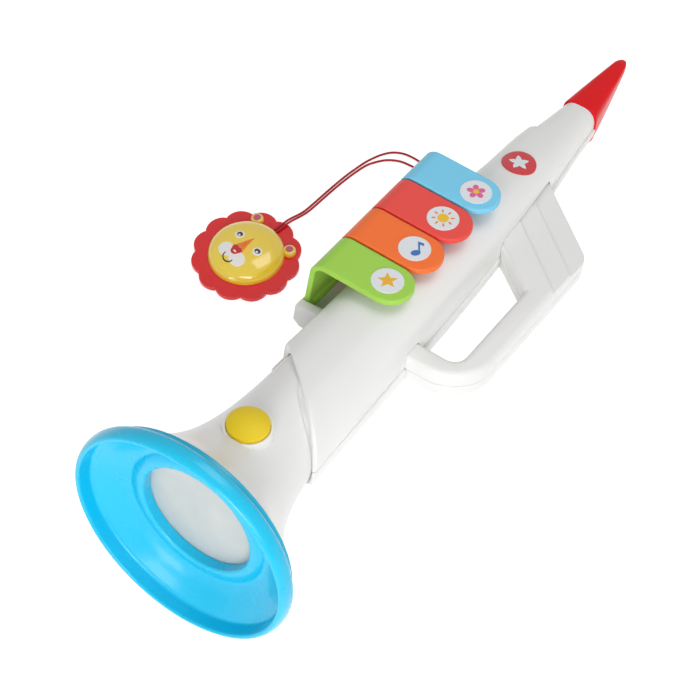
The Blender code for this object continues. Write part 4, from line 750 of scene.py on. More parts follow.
def milky_polycarbonate(name):
    """The window's milky polycarbonate: light sinks in and spreads, so it looks soft and deep."""
    colours = tuple(bell().lens_colour), linear("#B7BDBC")
    material, tree, shader, place, _ = clouded(name, colours, 12.0, {
        "Roughness": 0.38, "IOR": 1.58, "Subsurface Weight": 0.2,
        "Subsurface Radius": (1.0, 1.0, 1.1), "Subsurface Scale": 3.0 * MM})
    frost = add_node(tree, "ShaderNodeTexNoise", {"Vector": place, "Scale": 1.0 / (0.35 * MM)})
    bump = add_node(tree, "ShaderNodeBump", {
        "Height": frost.outputs["Fac"], "Strength": 0.3, "Distance": 0.01 * MM})
    fill(tree, shader, {"Normal": bump.outputs["Normal"]})
    return material


def key_abs(colour):
    """Give one key's ABS: a matt spark-eroded skin, which spreads the highlights wide."""
    return once(
        "matt_moulded_%s_abs" % colour, moulded_plastic, getattr(keys(), colour), roughness=0.46,
        grain_mm=0.4, grain_depth=0.02, mottle=0.04, gleam=0.3)


# The rules that give the trumpet its shape

LENS_SEAT = 2.2 * MM
LENS_THICKNESS = 2.2 * MM
PLUNGER_SIDE = 4.0 * MM
PLUNGER_RADIUS = 2.5 * MM
PLUNGER_HOLE_RADIUS = 4.5 * MM
PLUNGER_LOW = 14.3 * MM
BOARD_HEIGHT = 9.0 * MM
COLLAR_GAP = 0.4 * MM
COLLAR_RUN = 6.0 * MM
FRONT_LIP = (87.0 * MM, 0.84)
REAR_LIP = (83.0 * MM, 0.70)
LIP_LEDGE = 0.2 * MM
LEDGE_START = 70.0 * MM
LEDGE_RUN = 70.0 * MM
FLANK_RISE = 2.4 * MM
FLANK_RISE_START = 268.0 * MM
FLANK_RISE_END = 312.0 * MM
FLANK_DROP = 1.4 * MM
FRONT_ROUNDNESS = 2.8
REAR_ROUNDNESS = 2.35
SEAM_EDGE = 0.3 * MM
OUTER_STEPS = 96
INNER_STEPS = 32
HANDLE_TONGUE = 3.3 * MM
HEEL_RADIUS = 23.5 * MM
TIP_RADIUS = 9.0 * MM
GRIP_TIP_RADIUS = 3.0 * MM
GRIP_HEEL_RADIUS = 7.0 * MM
KEY_END = -1.2 * MM
KEY_EDGE = 0.8 * MM
FOOT_RADIUS = 3.4 * MM
ROD_RADIUS = 1.5 * MM
LABEL_SHIFT_SHARES = (0.15, 0.35, 0.40, 0.05)
ROUND_LABEL_RADIUS = 9.1 * MM
ROUND_LABEL_PLACE = 279.0 * MM
SPEAKER_PLACE = 128.0 * MM
SPEAKER_RADIUS = 13.5 * MM
GRILLE_SLOT_WIDTH = 1.6 * MM
GRILLE_PITCH = 4.0 * MM
GRILLE_COUNT = 5
GRILLE_RADIUS = 10.0 * MM
GRILLE_DEPTH = -17.0 * MM
TRAY_START = 146.0 * MM
TRAY_END = 206.4 * MM
TRAY_BOTTOM = -14.8 * MM
DOOR_MARGIN = 1.0 * MM
DOOR_HALF_WIDTH = 15.0 * MM
SCREW_HEAD_RADIUS = 2.3 * MM
SCREW_HEAD_HEIGHT = 1.4 * MM
SCREW_SHANK_RADIUS = 1.1 * MM
SCREW_SHANK = 16.5 * MM
SCREW_POINT = 1.5 * MM
SCREW_SEAT = 4.0 * MM
SCREW_TRAY_GAP = 7.6 * MM
SCREW_SIDE = 14.0 * MM
TAIL_SCREW_PLACE = 300.0 * MM
BOSS_RADIUS = 3.4 * MM
BOSS_GAP = 0.6 * MM
BOSS_SINK = 0.2 * MM
DOOR_SCREW_HOLE_RADIUS = 1.7 * MM
DOOR_SCREW_SHANK = 5.0 * MM
DOOR_SCREW_HEAD_SHARE = 0.6
RECESS_HALF_LENGTH = 1.35 * MM
RECESS_HALF_WIDTH = 0.32 * MM
SWITCH_TRAVEL = 4.0 * MM
THUMB_HALF_WIDTH = 2.5 * MM
THUMB_PROUD = 0.5 * MM
THUMB_EDGE = 0.3 * MM
STEM_DEPTH = 4.0 * MM
RIB_HALF_WIDTH = 0.3 * MM
RIB_HEIGHT = 0.5 * MM
RIB_SINK = 0.1 * MM
RIB_END_GAP = 0.4 * MM
RIB_PITCH = 1.1 * MM
BUTTON_FLANGE = 1.4 * MM
MOUTHPIECE_PLUG = 11.0 * MM
MOUTHPIECE_TOPS = (10.6 * MM, 12.8 * MM)
MOUTHPIECE_UNDERSIDES = (-12.4 * MM, 8.8 * MM)
MOUTHPIECE_ROUNDNESS = 4.2
LABEL_UP = Vector((0.82, 0.572))
LABEL_RIGHT = Vector((0.572, -0.82))
LABEL_HEIGHT = 0.45 * MM
LABEL_EDGE = 0.1 * MM
INK_HEIGHT = 0.03 * MM
INK_STEP = 0.012 * MM
ROUND_LABEL_HEIGHT = 0.5 * MM
STAR_RADII = (5.6 * MM, 2.5 * MM)
STAR_HEIGHT = 0.06 * MM
RAIL_END_GAP = 1.2 * MM
RAIL_END_WALL = 5.0 * MM
RAIL_SIDE = ((38.6 * MM, 4.6 * MM), (39.4 * MM, -6.0 * MM), (35.5 * MM, -9.2 * MM))
RAIL_ROOT = 5.8 * MM
RAIL_EDGE = 0.6 * MM
RAIL_FLOOR = -5.0 * MM
ANCHOR_LENGTH = 5.8 * MM
ANCHOR_HALF_WIDTH = 3.4 * MM
ANCHOR_HALF_HEIGHT = 2.6 * MM
ANCHOR_EDGE = 1.1 * MM
FACE_ROUNDNESS = 2.4
FACE_WALL = 1.8 * MM
HOLLOW_MIDDLE = 2.0 * MM
MANE_EDGE = 0.6 * MM
SCALLOP_DEPTH = 2.4 * MM
EAR_PLACE = (22.2 * MM, radians(37.0))
EAR_RADIUS = 3.4 * MM
EAR_HEIGHT = 2.9 * MM
INNER_EAR_RADIUS = 2.0 * MM
INNER_EAR_HEIGHT = 0.16 * MM
CORD_POST = (9.5 * MM, radians(4.3))
CORD_POST_RADIUS = 1.7 * MM
CORD_NOTCH_HALF_WIDTH = 2.2 * MM
CORD_NOTCH_HEIGHT = 2.4 * MM
CORD_NOTCH_EDGE = 0.5 * MM


def follow(table, share, column):
    """Read one column of a table of shares as a smooth curve."""
    last = len(table) - 1
    index = 0
    while index < last - 1 and share > table[index + 1][0]:
        index += 1
    before, low = table[max(index - 1, 0)], table[index]
    high, after = table[index + 1], table[min(index + 2, last)]
    width = high[0] - low[0]
    place = clamp((share - low[0]) / width, 0.0, 1.0)
    start = (high[column] - before[column]) / (high[0] - before[0]) * width
    end = (after[column] - low[column]) / (after[0] - low[0]) * width
    square, cube = place ** 2, place ** 3
    return (
        (2 * cube - 3 * square + 1) * low[column] + (cube - 2 * square + place) * start
        + (3 * square - 2 * cube) * high[column] + (cube - square) * end
    )


def horn_mouth_radius():
    """Give the horn's outer radius where it meets the bell, tucked in behind the rim."""
    return bell().radius - horn().overhang


def horn_radius(along):
    """Give the horn's outer radius, which falls off exponentially from the bell."""
    fall = exp(-(along - horn().start) / horn().flare_length)
    return mix(horn().throat_radius, horn_mouth_radius(), fall)


def horn_inner_radius(along):
    """Give the horn's inner radius, one wall inside its outer face."""
    slope = (horn_radius(along) - horn().throat_radius) / horn().flare_length
    return horn_radius(along) - horn().wall * hypot(1.0, slope)


def taper(along, column):
    """Give one of the body's shares at a place along it."""
    share = clamp((along - body().start) / (body().end - body().start), 0.0, 1.0)
    return follow(BODY_TAPER_SHARES, share, column)


def body_width(along):
    """Give the rear shell's half width."""
    return body().half_width * taper(along, 1)


def front_width(along):
    """Give the front shell's half width, inside the parting ledge, which fades out at the lips."""
    return body_width(along) - mix(LIP_LEDGE, body().ledge, ease((along - LEDGE_START) / LEDGE_RUN))


def front_height(along):
    """Give the front shell's height above the parting plane."""
    return body().front_height * taper(along, 2)


def rear_height(along):
    """Give the rear shell's depth below the parting plane."""
    return body().rear_height * taper(along, 3)


def flank_rise(along):
    """Give how far the keys' flank stands out before its step near the mouthpiece."""
    rise = ease((along - FLANK_RISE_START) / (FLANK_RISE_END - FLANK_RISE_START))
    return FLANK_RISE * (rise - ease((along - FLANK_RISE_END) / FLANK_DROP))


def arch_height(side, half_width, height, roundness):
    """Give the height of a rounded arch at one sideways place."""
    share = clamp(abs(side) / half_width, 0.0, 1.0)
    return height * (1.0 - share ** roundness) ** (1.0 / roundness)


def arch_point(angle, half_width, height, roundness):
    """Give the sideways place and the height of one point on a rounded arch."""
    across, up = cos(angle), sin(angle)
    side = copysign(abs(across) ** (2.0 / roundness), across) * half_width
    return side, abs(up) ** (2.0 / roundness) * height


def front_surface(along, side):
    """Give the height of the front shell's outer face."""
    return arch_height(side, front_width(along), front_height(along), FRONT_ROUNDNESS) + GAP / 2


def rear_surface(along, side):
    """Give the height of the rear shell's outer face."""
    return -arch_height(side, body_width(along), rear_height(along), REAR_ROUNDNESS) - GAP / 2


def button_centre():
    """Give the middle of the button's collar, level with the horn on the bell's side of it."""
    own = button()
    return Vector((own.place, 0, horn_radius(own.place - own.radius)))


def key_place(index):
    """Give the place along the body of the middle of one key."""
    return keys().first + keys().pitch * index


def screw_places():
    """Give each body screw's place: beside the speaker, behind the batteries and in the tail."""
    speaker_side = SPEAKER_RADIUS + BOSS_RADIUS + BOSS_GAP
    middle = TRAY_END + SCREW_TRAY_GAP
    return (
        (SPEAKER_PLACE, speaker_side), (SPEAKER_PLACE, -speaker_side),
        (middle, SCREW_SIDE), (middle, -SCREW_SIDE), (TAIL_SCREW_PLACE, 0.0),
    )


def shell_places(lip, end):
    """Give the shares of the body's length at which a shell's rings stand, dense at its details."""
    widest = lip[0] + lip[1] * body().half_width
    length = end - widest
    places = [0.0, 0.0004, 0.0012, 0.0025, 0.0045, 0.008, 0.014]
    places += [0.014 + (1.0 - 0.014) * k / 40 for k in range(1, 41)]
    places += [(FLANK_RISE_END + FLANK_DROP * k / 5 - widest) / length for k in range(-1, 7)]
    return sorted(places)


def edge_drop(distance, radius):
    """Give how far a face drops at a distance from an edge that is rounded to a radius."""
    if distance >= radius:
        return 0.0
    return radius - sqrt(radius ** 2 - (radius - max(distance, 0.0)) ** 2)


def shell_section(lip, share, front):
    """Give one closed ring of points round half of the body's wall."""
    roundness = FRONT_ROUNDNESS if front else REAR_ROUNDNESS
    height_of = front_height if front else rear_height
    width_of = front_width if front else body_width
    sign = 1.0 if front else -1.0
    ring = []
    for k in range(-1, OUTER_STEPS + 2):
        angle = pi * clamp(k / OUTER_STEPS, 0.0, 1.0)
        guess = arch_point(angle, body().half_width, body().front_height, roundness)[0]
        start = lip[0] + lip[1] * guess
        along = mix(start, body().end, share)
        drop = edge_drop(along - start, body().edge)
        side, height = arch_point(angle, width_of(along) - drop, height_of(along) - drop, roundness)
        if front and side > 0:
            side += flank_rise(along) * ease(2.0 * side / width_of(along))
        if k in (-1, OUTER_STEPS + 1):
            side -= copysign(SEAM_EDGE, side)
        elif k in (0, OUTER_STEPS):
            height = SEAM_EDGE
        ring.append(Vector((along, side, sign * (height + GAP / 2))))
    for k in range(INNER_STEPS + 1):
        angle = pi * (1.0 - k / INNER_STEPS)
        guess = arch_point(angle, body().half_width, body().front_height, roundness)[0]
        along = mix(lip[0] + lip[1] * guess, body().end, share)
        blend = ease((along - horn().end) / COLLAR_RUN)
        collar = horn_radius(along) + COLLAR_GAP
        half_width = mix(collar, width_of(along) - body().wall, blend)
        half_height = mix(collar, height_of(along) - body().wall, blend)
        side, height = arch_point(angle, half_width, half_height, mix(2.0, roundness, blend))
        ring.append(Vector((along, side, sign * (height + GAP / 2))))
    return ring


def body_shell(name, front):
    """Make one body half without its holes."""
    lip = FRONT_LIP if front else REAR_LIP
    return loft(name, [shell_section(lip, share, front) for share in shell_places(lip, body().end)])


def door_bounds(clearance):
    """Give the corners of the battery opening, grown by a clearance."""
    start = TRAY_START + DOOR_MARGIN - clearance
    end = TRAY_END - DOOR_MARGIN + clearance
    half = DOOR_HALF_WIDTH + clearance
    return (start, -half, -body().rear_height - OVERRUN), (end, half, TRAY_BOTTOM)


def filleted(corners, radii, steps):
    """Give an outline whose corners are rounded with arcs."""
    points = []
    count = len(corners)
    for i, (corner, radius) in enumerate(zip(corners, radii)):
        if not radius:
            points.append(corner)
            continue
        to_last = (corners[i - 1] - corner).normalized()
        to_next = (corners[(i + 1) % count] - corner).normalized()
        half_angle = to_last.angle(to_next) / 2
        reach = radius / tan(half_angle)
        centre = corner + (to_last + to_next).normalized() * (radius / sin(half_angle))
        start = corner + to_last * reach - centre
        end = corner + to_next * reach - centre
        turn = atan2(start.x * end.y - start.y * end.x, start.dot(end))
        for k in range(steps + 1):
            x, y = cos(turn * k / steps), sin(turn * k / steps)
            points.append(centre + Vector((start.x * x - start.y * y, start.x * y + start.y * x)))
    return points


def grown(outline, distance):
    """Move an outline outwards by a distance, or inwards where it is negative."""
    count = len(outline)
    area = sum(a.x * b.y - a.y * b.x for a, b in zip(outline, outline[1:] + outline[:1]))
    sign = 1.0 if area > 0 else -1.0
    result = []
    for i, point in enumerate(outline):
        before = (point - outline[i - 1]).normalized()
        after = (outline[(i + 1) % count] - point).normalized()
        normal_before = Vector((before.y, -before.x)) * sign
        normal_after = Vector((after.y, -after.x)) * sign
        normal = (normal_before + normal_after).normalized()
        result.append(point + normal * (distance / max(normal.dot(normal_after), 0.5)))
    return result


def handle_outline(steps=20):
    """Give the handle's outline in the parting plane, from root to root."""
    own = handle()
    post_end = own.start + own.post
    grip_end = post_end + own.grip_length
    bar = own.bar - own.reach

    def root(along):
        return HANDLE_TONGUE - front_width(along)

    corners = [
        Vector((own.start, root(own.start))), Vector((own.start, -own.reach)),
        Vector((own.tip, -own.reach)), Vector((own.web_end, root(own.web_end))),
        Vector((grip_end, root(grip_end))), Vector((own.grip_far, bar)),
        Vector((post_end, bar)), Vector((post_end, root(post_end))),
    ]
    radii = (0, HEEL_RADIUS, TIP_RADIUS, 0, 0, GRIP_TIP_RADIUS, GRIP_HEEL_RADIUS, 0)
    return filleted(corners, radii, steps)


def handle_block(name, sign, clearance=0.0):
    """Make one solid handle half with rounded edges, and room round it where it is a cutter."""
    outline = grown(handle_outline(), clearance) if clearance else handle_outline()
    foot = -OVERRUN if clearance else GAP / 2
    top = handle().half_depth + clearance
    layers = [(SEAM_EDGE, foot), (0.0, foot + SEAM_EDGE)]
    for degrees in (0, 15, 30, 45, 60, 75, 90):
        angle = radians(degrees)
        layers.append((handle().edge * (1 - cos(angle)), top - handle().edge * (1 - sin(angle))))
    rings = [
        [Vector((p.x, p.y, sign * height)) for p in (grown(outline, -inward) if inward else outline)]
        for inward, height in layers
    ]
    return loft(name, rings)


def prism(name, outline, low, high):
    """Make a thin upright plate from an outline in the plane."""
    return loft(name, [[Vector((p[0], p[1], z)) for p in outline] for z in (low, high)])


# Operators, one for each piece or group of like pieces

# The camera stands where the photographer's did, in metres over the floor
CAMERA_PLACE = Vector((-0.539750, -0.337600, 0.907283))
CAMERA_FORWARD = Vector((0.463077, 0.324400, -0.824779))
CAMERA_UP = Vector((0.674518, 0.474700, 0.565403))

# Each lamp's place, the place that it shines on and its width, in metres
LAMPS = {
    "key": ((-1.1, -0.6, 0.8), (0.0, 0.0, 0.03), 0.7),
    "top": ((0.5, -0.2, 1.35), (0.0, 0.0, 0.03), 0.7),
    "fill": ((-0.75, -1.05, 0.75), (0.0, 0.0, 0.03), 0.7),
    "low": ((-1.3, 0.11, 0.14), (-0.18, 0.01, 0.04), 0.3),
}


def seen_directly(tree):
    """Give a shader value that is 1 for what the camera sees, also in a gloss or through a clear part."""
    path = add_node(tree, "ShaderNodeLightPath").outputs
    seen = path["Is Camera Ray"]
    for other in ("Is Glossy Ray", "Is Transmission Ray"):
        seen = add_node(tree, "ShaderNodeMath", {
            0: seen, 1: path[other]}, operation="ADD", use_clamp=True).outputs[0]
    return seen


class BuildStage(Operator):
    """Set up the camera, the pale floor, the soft lamps and the white surroundings"""

    bl_idname = "trumpet.stage"
    bl_label = "Stage"

    def execute(self, context):
        own = stage()
        forward = CAMERA_FORWARD.normalized()
        right = forward.cross(CAMERA_UP).normalized()
        turn = Matrix((right, right.cross(forward), -forward)).transposed()
        data = bpy.data.cameras.new("camera")
        data.lens = own.lens
        data.sensor_width = 36.0
        data.clip_end = 50.0
        camera = put_in_scene("camera", data)
        camera.matrix_world = Matrix.Translation(CAMERA_PLACE) @ turn.to_4x4()
        context.scene.camera = camera
        context.scene.view_settings.view_transform = "Standard"

        # Matt white card: it takes the shadow, and its own glow shows only where no shadow falls
        colours = linear("#F6F6F6"), linear("#F4F4F4")
        paper, tree, shader, _, _ = clouded("matt_white_card", colours, 2.0, {
            "Roughness": 0.9, "Specular IOR Level": 0.1, "Emission Color": linear("#FFFFFF")})
        glow = add_node(tree, "ShaderNodeMath", {
            0: seen_directly(tree), 1: own.glow}, operation="MULTIPLY")
        fill(tree, shader, {"Emission Strength": glow.outputs[0]})
        half = own.floor_size / 2
        corners = [(-half, -half, 0), (half, -half, 0), (half, half, 0), (-half, half, 0)]
        mesh = bpy.data.meshes.new("floor")
        mesh.from_pydata(corners, [], [(0, 1, 2, 3)])
        mesh.materials.append(paper)
        put_in_scene("floor", mesh)

        world = context.scene.world or bpy.data.worlds.new("white_tent")
        context.scene.world = world
        world.use_nodes = True
        tree = world.node_tree
        level = add_node(tree, "ShaderNodeMapRange", {
            "Value": seen_directly(tree), "To Min": own.sky, "To Max": 1.0})
        fill(tree, tree.nodes["Background"], {
            "Color": (1.0, 1.0, 1.0, 1.0), "Strength": level.outputs["Result"]})

        for name, (place, target, size) in LAMPS.items():
            light = bpy.data.lights.new(name + "_lamp", "AREA")
            light.shape = "SQUARE"
            light.size = size
            light.energy = getattr(own, name)
            lamp = put_in_scene(name + "_lamp", light)
            lamp.location = place
            lamp.rotation_euler = (Vector(target) - Vector(place)).to_track_quat("-Z", "Y").to_euler()
        return {"FINISHED"}


# The cord's route from the anchor over the floor, round the charm's post and back
CORD_ROUTE = (
    (0.0692, 0.0378, 0.0243), (0.0730, 0.0384, 0.0229), (0.0766, 0.0403, 0.0196),
    (0.0806, 0.0432, 0.0146), (0.0846, 0.0472, 0.0087), (0.0877, 0.0522, 0.0035),
    (0.0895, 0.0576, 0.0009), (0.0899, 0.0630, 0.0007), (0.0892, 0.0686, 0.0007),
    (0.0865, 0.0738, 0.0007), (0.0820, 0.0776, 0.0007), (0.0764, 0.0804, 0.0007),
    (0.0709, 0.0823, 0.0007), (0.0592, 0.0849, 0.0007), (0.0463, 0.0867, 0.0007),
    (0.0305, 0.0885, 0.0007), (0.0248, 0.0894, 0.0013), (0.0200, 0.0903, 0.0027),
    (0.0167, 0.0909, 0.0037), (0.0132, 0.0915, 0.0041), (0.0090, 0.0924, 0.0041),
    (0.0035, 0.0935, 0.0041), (0.0000, 0.0951, 0.0041), (-0.0028, 0.0967, 0.0041),
    (-0.0053, 0.0970, 0.0041), (-0.0074, 0.0948, 0.0041), (-0.0063, 0.0919, 0.0041),
    (-0.0038, 0.0913, 0.0041), (-0.0007, 0.0917, 0.0041), (0.0032, 0.0919, 0.0041),
    (0.0086, 0.0908, 0.0041), (0.0129, 0.0900, 0.0041), (0.0165, 0.0893, 0.0037),
    (0.0198, 0.0887, 0.0027), (0.0246, 0.0879, 0.0013), (0.0303, 0.0869, 0.0007),
    (0.0461, 0.0851, 0.0007), (0.0589, 0.0832, 0.0007), (0.0698, 0.0806, 0.0007),
    (0.0750, 0.0780, 0.0007), (0.0804, 0.0734, 0.0007), (0.0838, 0.0672, 0.0007),
    (0.0846, 0.0610, 0.0008), (0.0835, 0.0546, 0.0026), (0.0813, 0.0482, 0.0074),
    (0.0786, 0.0426, 0.0130), (0.0759, 0.0382, 0.0186), (0.0728, 0.0358, 0.0226),
    (0.0692, 0.0354, 0.0243),
)


def cord_tree():
    """Build the tree that draws a round cord along a path; its UV map's v is the length in metres."""
    tree, given, output = geometry_tree("cord_along_path", [
        ("Geometry", "Geometry"), ("Radius", "Float"),
        ("Sides", "Int"), ("Material", "Material"),
    ])
    path = add_node(tree, "GeometryNodeMeshToCurve", {"Mesh": given["Geometry"]})
    profile = add_node(tree, "GeometryNodeCurveArc", {
        "Resolution": given["Sides"], "Radius": given["Radius"], "Sweep Angle": tau})
    kept = []
    for source, factor in ((path, "Length"), (profile, "Factor")):
        node = add_node(tree, "GeometryNodeCaptureAttribute")
        node.capture_items.new("FLOAT", "Value")
        tree.links.new(source.outputs[0], node.inputs["Geometry"])
        tree.links.new(add_node(tree, "GeometryNodeSplineParameter").outputs[factor], node.inputs["Value"])
        kept.append(node)
    tube = add_node(tree, "GeometryNodeCurveToMesh", {
        "Curve": kept[0].outputs["Geometry"], "Profile Curve": kept[1].outputs["Geometry"]})
    pair = add_node(tree, "ShaderNodeCombineXYZ", {
        "X": kept[1].outputs["Value"], "Y": kept[0].outputs["Value"]})
    mapped = add_node(tree, "GeometryNodeStoreNamedAttribute", {
        "Geometry": tube.outputs[0], "Name": "UVMap", "Value": pair.outputs[0],
    }, data_type="FLOAT2", domain="CORNER")
    return finish_tree(tree, output, mapped.outputs[0], given["Material"])


class BuildCord(Operator):
    """Lay the doubled braided cord from its anchor over the floor to the charm and back"""

    bl_idname = "trumpet.cord"
    bl_label = "Cord"

    def execute(self, context):
        diameter = charm().cord_diameter
        path = smooth_outline(CORD_ROUTE, 8)
        material = once("braided_polyester", braided_polyester, charm().cord_colour, diameter)
        values = {"Radius": diameter / 2, "Sides": 13, "Material": material}
        mesh = baked(cord_tree(), values, path, [(i, i + 1) for i in range(len(path) - 1)])
        work = bmesh.new()
        work.from_mesh(mesh)
        bmesh.ops.remove_doubles(work, verts=work.verts, dist=WELD)
        bmesh.ops.holes_fill(work, edges=[edge for edge in work.edges if edge.is_boundary], sides=0)
        bmesh.ops.recalc_face_normals(work, faces=work.faces)
        work.to_mesh(mesh)
        work.free()
        finish_piece(
            "charm_cord_braid", mesh, [material], ["charm_cord"], sharp=50.0, place=Matrix())
        length = sum((b - a).length for a, b in zip(path, path[1:]))
        context.scene["cord_length"] = length
        context.scene["cord_path"] = [value for point in path for value in point]
        return {"FINISHED"}


class BuildBell(Operator):
    """Turn the blue flare with its rolled rim, and the milky window in its middle"""

    bl_idname = "trumpet.bell"
    bl_label = "Bell"

    def execute(self, context):
        own = bell()
        seat = own.lip_radius + LENS_SEAT
        tube = seat + own.tube_wall
        tube_end = own.lens_place + LENS_THICKNESS + GAP
        face = [
            Vector((mix(own.lip_radius, own.radius, out), own.start + own.lip_depth * deep, 0))
            for out, deep in FLARE_FACE_SHARES
        ]
        profile = [(min(p.x, own.radius), max(p.y, own.start)) for p in smooth_outline(face, 5)]
        mouth = horn_mouth_radius() + GAP
        start = horn().start
        profile += [(mouth, mix(profile[-1][1], start, 0.3)), (mouth, start - GAP)]
        profile.append((horn_inner_radius(start) - GAP, start - GAP))
        for out, deep in FLARE_BACK_SHARES:
            place = own.start + own.lip_depth * deep
            profile.append((mix(tube, horn_inner_radius(place) - GAP, out), place))
        profile += [(tube, profile[-1][1]), (tube, tube_end), (seat, tube_end)]
        profile += [(seat, own.lens_place - GAP), (own.lip_radius, own.lens_place - GAP)]
        flare = turned("bell_flare_skin", profile, 220)
        finish_piece("bell_flare_skin", flare, [blue_abs()], ["bell_flare"], sharp=38.0)

        shares = [k / 12 for k in range(13)]
        outline = [
            (own.lip_radius * share, own.lens_place - own.lens_crown * (1.0 - share ** 2)) for share in shares
        ]
        back = own.lens_place + LENS_THICKNESS
        outline += [(seat - GAP, own.lens_place), (seat - GAP, back), (0.0, back)]
        lens = spindle("bell_window", outline, Vector(), AHEAD, 128)
        milky = once("frosted_milky_polycarbonate", milky_polycarbonate)
        finish_piece("bell_window", lens, [milky], ["bell_lens"])
        return {"FINISHED"}


class BuildNeck(Operator):
    """Build the two halves of the white horn from its exponential rule, with the button's collar"""

    bl_idname = "trumpet.neck"
    bl_label = "Horn"

    def execute(self, context):
        own, knob = horn(), button()
        tree = shell_by_rule_tree()
        values = {
            "Start": own.start, "End": own.end, "Mouth": horn_mouth_radius(),
            "Throat": own.throat_radius, "Flare": own.flare_length, "Wall": own.wall,
            "Sweep": pi, "Steps": own.steps, "Rows": 64, "Material": white_abs(),
        }
        front = baked(tree, {**values, "From": 0.0, "Lift": GAP / 2})
        rear = baked(tree, {**values, "From": pi, "Lift": -GAP / 2})
        finish_white("horn_rear_skin", rear, "neck_rear_shell", sharp=40.0)

        centre = button_centre()
        bore = knob.radius + SLIDE_GAP
        lip = knob.radius + GAP / 2
        edge = knob.collar * 0.45
        foot = horn_inner_radius(knob.place + knob.radius) - centre.z
        outside = bore + knob.collar
        outline = [
            (outside, foot), (outside, -edge), (outside - 0.3 * edge, -0.3 * edge), (outside - edge, 0.0),
        ]
        collar = spindle("collar", outline, centre, UP, 96)
        places = [mix(own.start, own.end, (k / 40) ** 1.5) for k in range(41)]
        inside = turned(
            "inside", [(0, own.start), *[(horn_inner_radius(p), p) for p in places], (0, own.end)], 192)
        front = combine(front, cut(collar, inside), "UNION")
        outline = [
            (bore, -knob.depth), (bore, -3.0 * edge), (lip, -2.5 * edge), (lip, -0.6 * edge),
            (lip + 0.2 * edge, -0.2 * edge), (lip + 0.6 * edge, GAP / 10), (lip + 0.6 * edge, OVERRUN),
        ]
        front = cut(front, spindle("hole", outline, centre, UP, 96))
        finish_white("horn_front_skin", front, "neck_front_shell", sharp=40.0)
        return {"FINISHED"}


class BuildButton(Operator):
    """Turn the matt yellow push button"""

    bl_idname = "trumpet.button"
    bl_label = "Button"

    def execute(self, context):
        own = button()
        flange = own.radius + BUTTON_FLANGE
        flange_top = BUTTON_FLANGE - own.depth
        shares = (
            (1.0, -0.3), (1.0, 0.0), (0.975, 0.11), (0.9, 0.27), (0.68, 0.6), (0.35, 0.89), (0.0, 1.0),
        )
        crown = [
            Vector((own.radius * wide, own.proud + own.crown * tall, 0)) for wide, tall in shares
        ]
        outline = [(0.0, -own.depth), (flange, -own.depth), (flange, flange_top), (own.radius, flange_top)]
        outline += [(max(p.x, 0.0), p.y) for p in smooth_outline(crown, 5)]
        mesh = spindle("horn_button_dome", outline, button_centre(), UP, 96)
        yellow = once(
            "matt_moulded_yellow_abs", moulded_plastic, own.colour, roughness=0.45, grain_mm=0.35,
            grain_depth=0.02, gleam=0.3)
        finish_piece("horn_button_dome", mesh, [yellow], ["horn_button"], "button")
        return {"FINISHED"}


class BuildShells(Operator):
    """Loft the front and rear body shells and cut their holes, slots and the handle's windows"""

    bl_idname = "trumpet.shells"
    bl_label = "Body shells"

    def execute(self, context):
        shell = body_shell("body_front_skin", True)
        cuts = [
            cylinder(
                "hole", PLUNGER_HOLE_RADIUS, BOARD_HEIGHT, keys().top,
                Vector((key_place(i), PLUNGER_SIDE, 0)), UP)
            for i in range(4)
        ]
        shell = cut(shell, merged("cuts", cuts))
        shell = cut(shell, handle_block("window", 1.0, GAP))
        finish_white("body_front_skin", shell, "body_front_shell")

        shell = body_shell("body_rear_skin", False)
        bosses = []
        cuts = []
        for along, side in screw_places():
            centre = Vector((along, side, 0))
            skin = -rear_surface(along, abs(side) + BOSS_RADIUS) - BOSS_SINK
            bosses.append(cylinder("boss", BOSS_RADIUS, BOSS_GAP, skin, centre, -UP))
            seat = -rear_surface(along, side) - SCREW_SEAT
            bore, head = SCREW_SHANK_RADIUS + GAP, SCREW_HEAD_RADIUS + GAP
            outline = ((bore, -OVERRUN), (bore, seat), (head, seat), (head, seat + SCREW_SEAT + OVERRUN))
            cuts.append(spindle("bore", outline, centre, -UP, 40))
        shell = combine(shell, merged("bosses", bosses), "UNION")
        for k in range(GRILLE_COUNT):
            offset = (k - (GRILLE_COUNT - 1) / 2) * GRILLE_PITCH
            half = sqrt(GRILLE_RADIUS ** 2 - offset ** 2)
            cuts.append(grille_slot(SPEAKER_PLACE + offset, half))
        cuts.append(block("opening", *door_bounds(GAP)))
        thumb = THUMB_HALF_WIDTH + SLIDE_GAP
        place = switch_place()
        deep = rear_surface(place, 0)
        cuts.append(block(
            "slot", (place - thumb, -thumb, deep - OVERRUN),
            (place + thumb + SWITCH_TRAVEL, thumb, deep + 2 * OVERRUN)))
        shell = cut(shell, merged("cuts", cuts))
        shell = cut(shell, handle_block("window", -1.0, GAP))
        finish_white("body_rear_skin", shell, "body_rear_shell")
        return {"FINISHED"}


def switch_place():
    """Give the switch knob's place along the body from its box in the frame."""
    low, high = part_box("power_switch_knob")
    return (laid_frame().inverted() @ ((low + high) / 2)).x


def grille_slot(place, half):
    """Make the cutter for one slot of the speaker's grille, with round ends."""
    width = GRILLE_SLOT_WIDTH / 2
    outline = []
    for sign in (1.0, -1.0):
        for k in range(13):
            angle = pi * k / 12
            outline.append((
                place + sign * width * cos(angle), sign * (half - width + width * sin(angle))))
    return prism("slot", outline, -body().rear_height - OVERRUN, GRILLE_DEPTH)


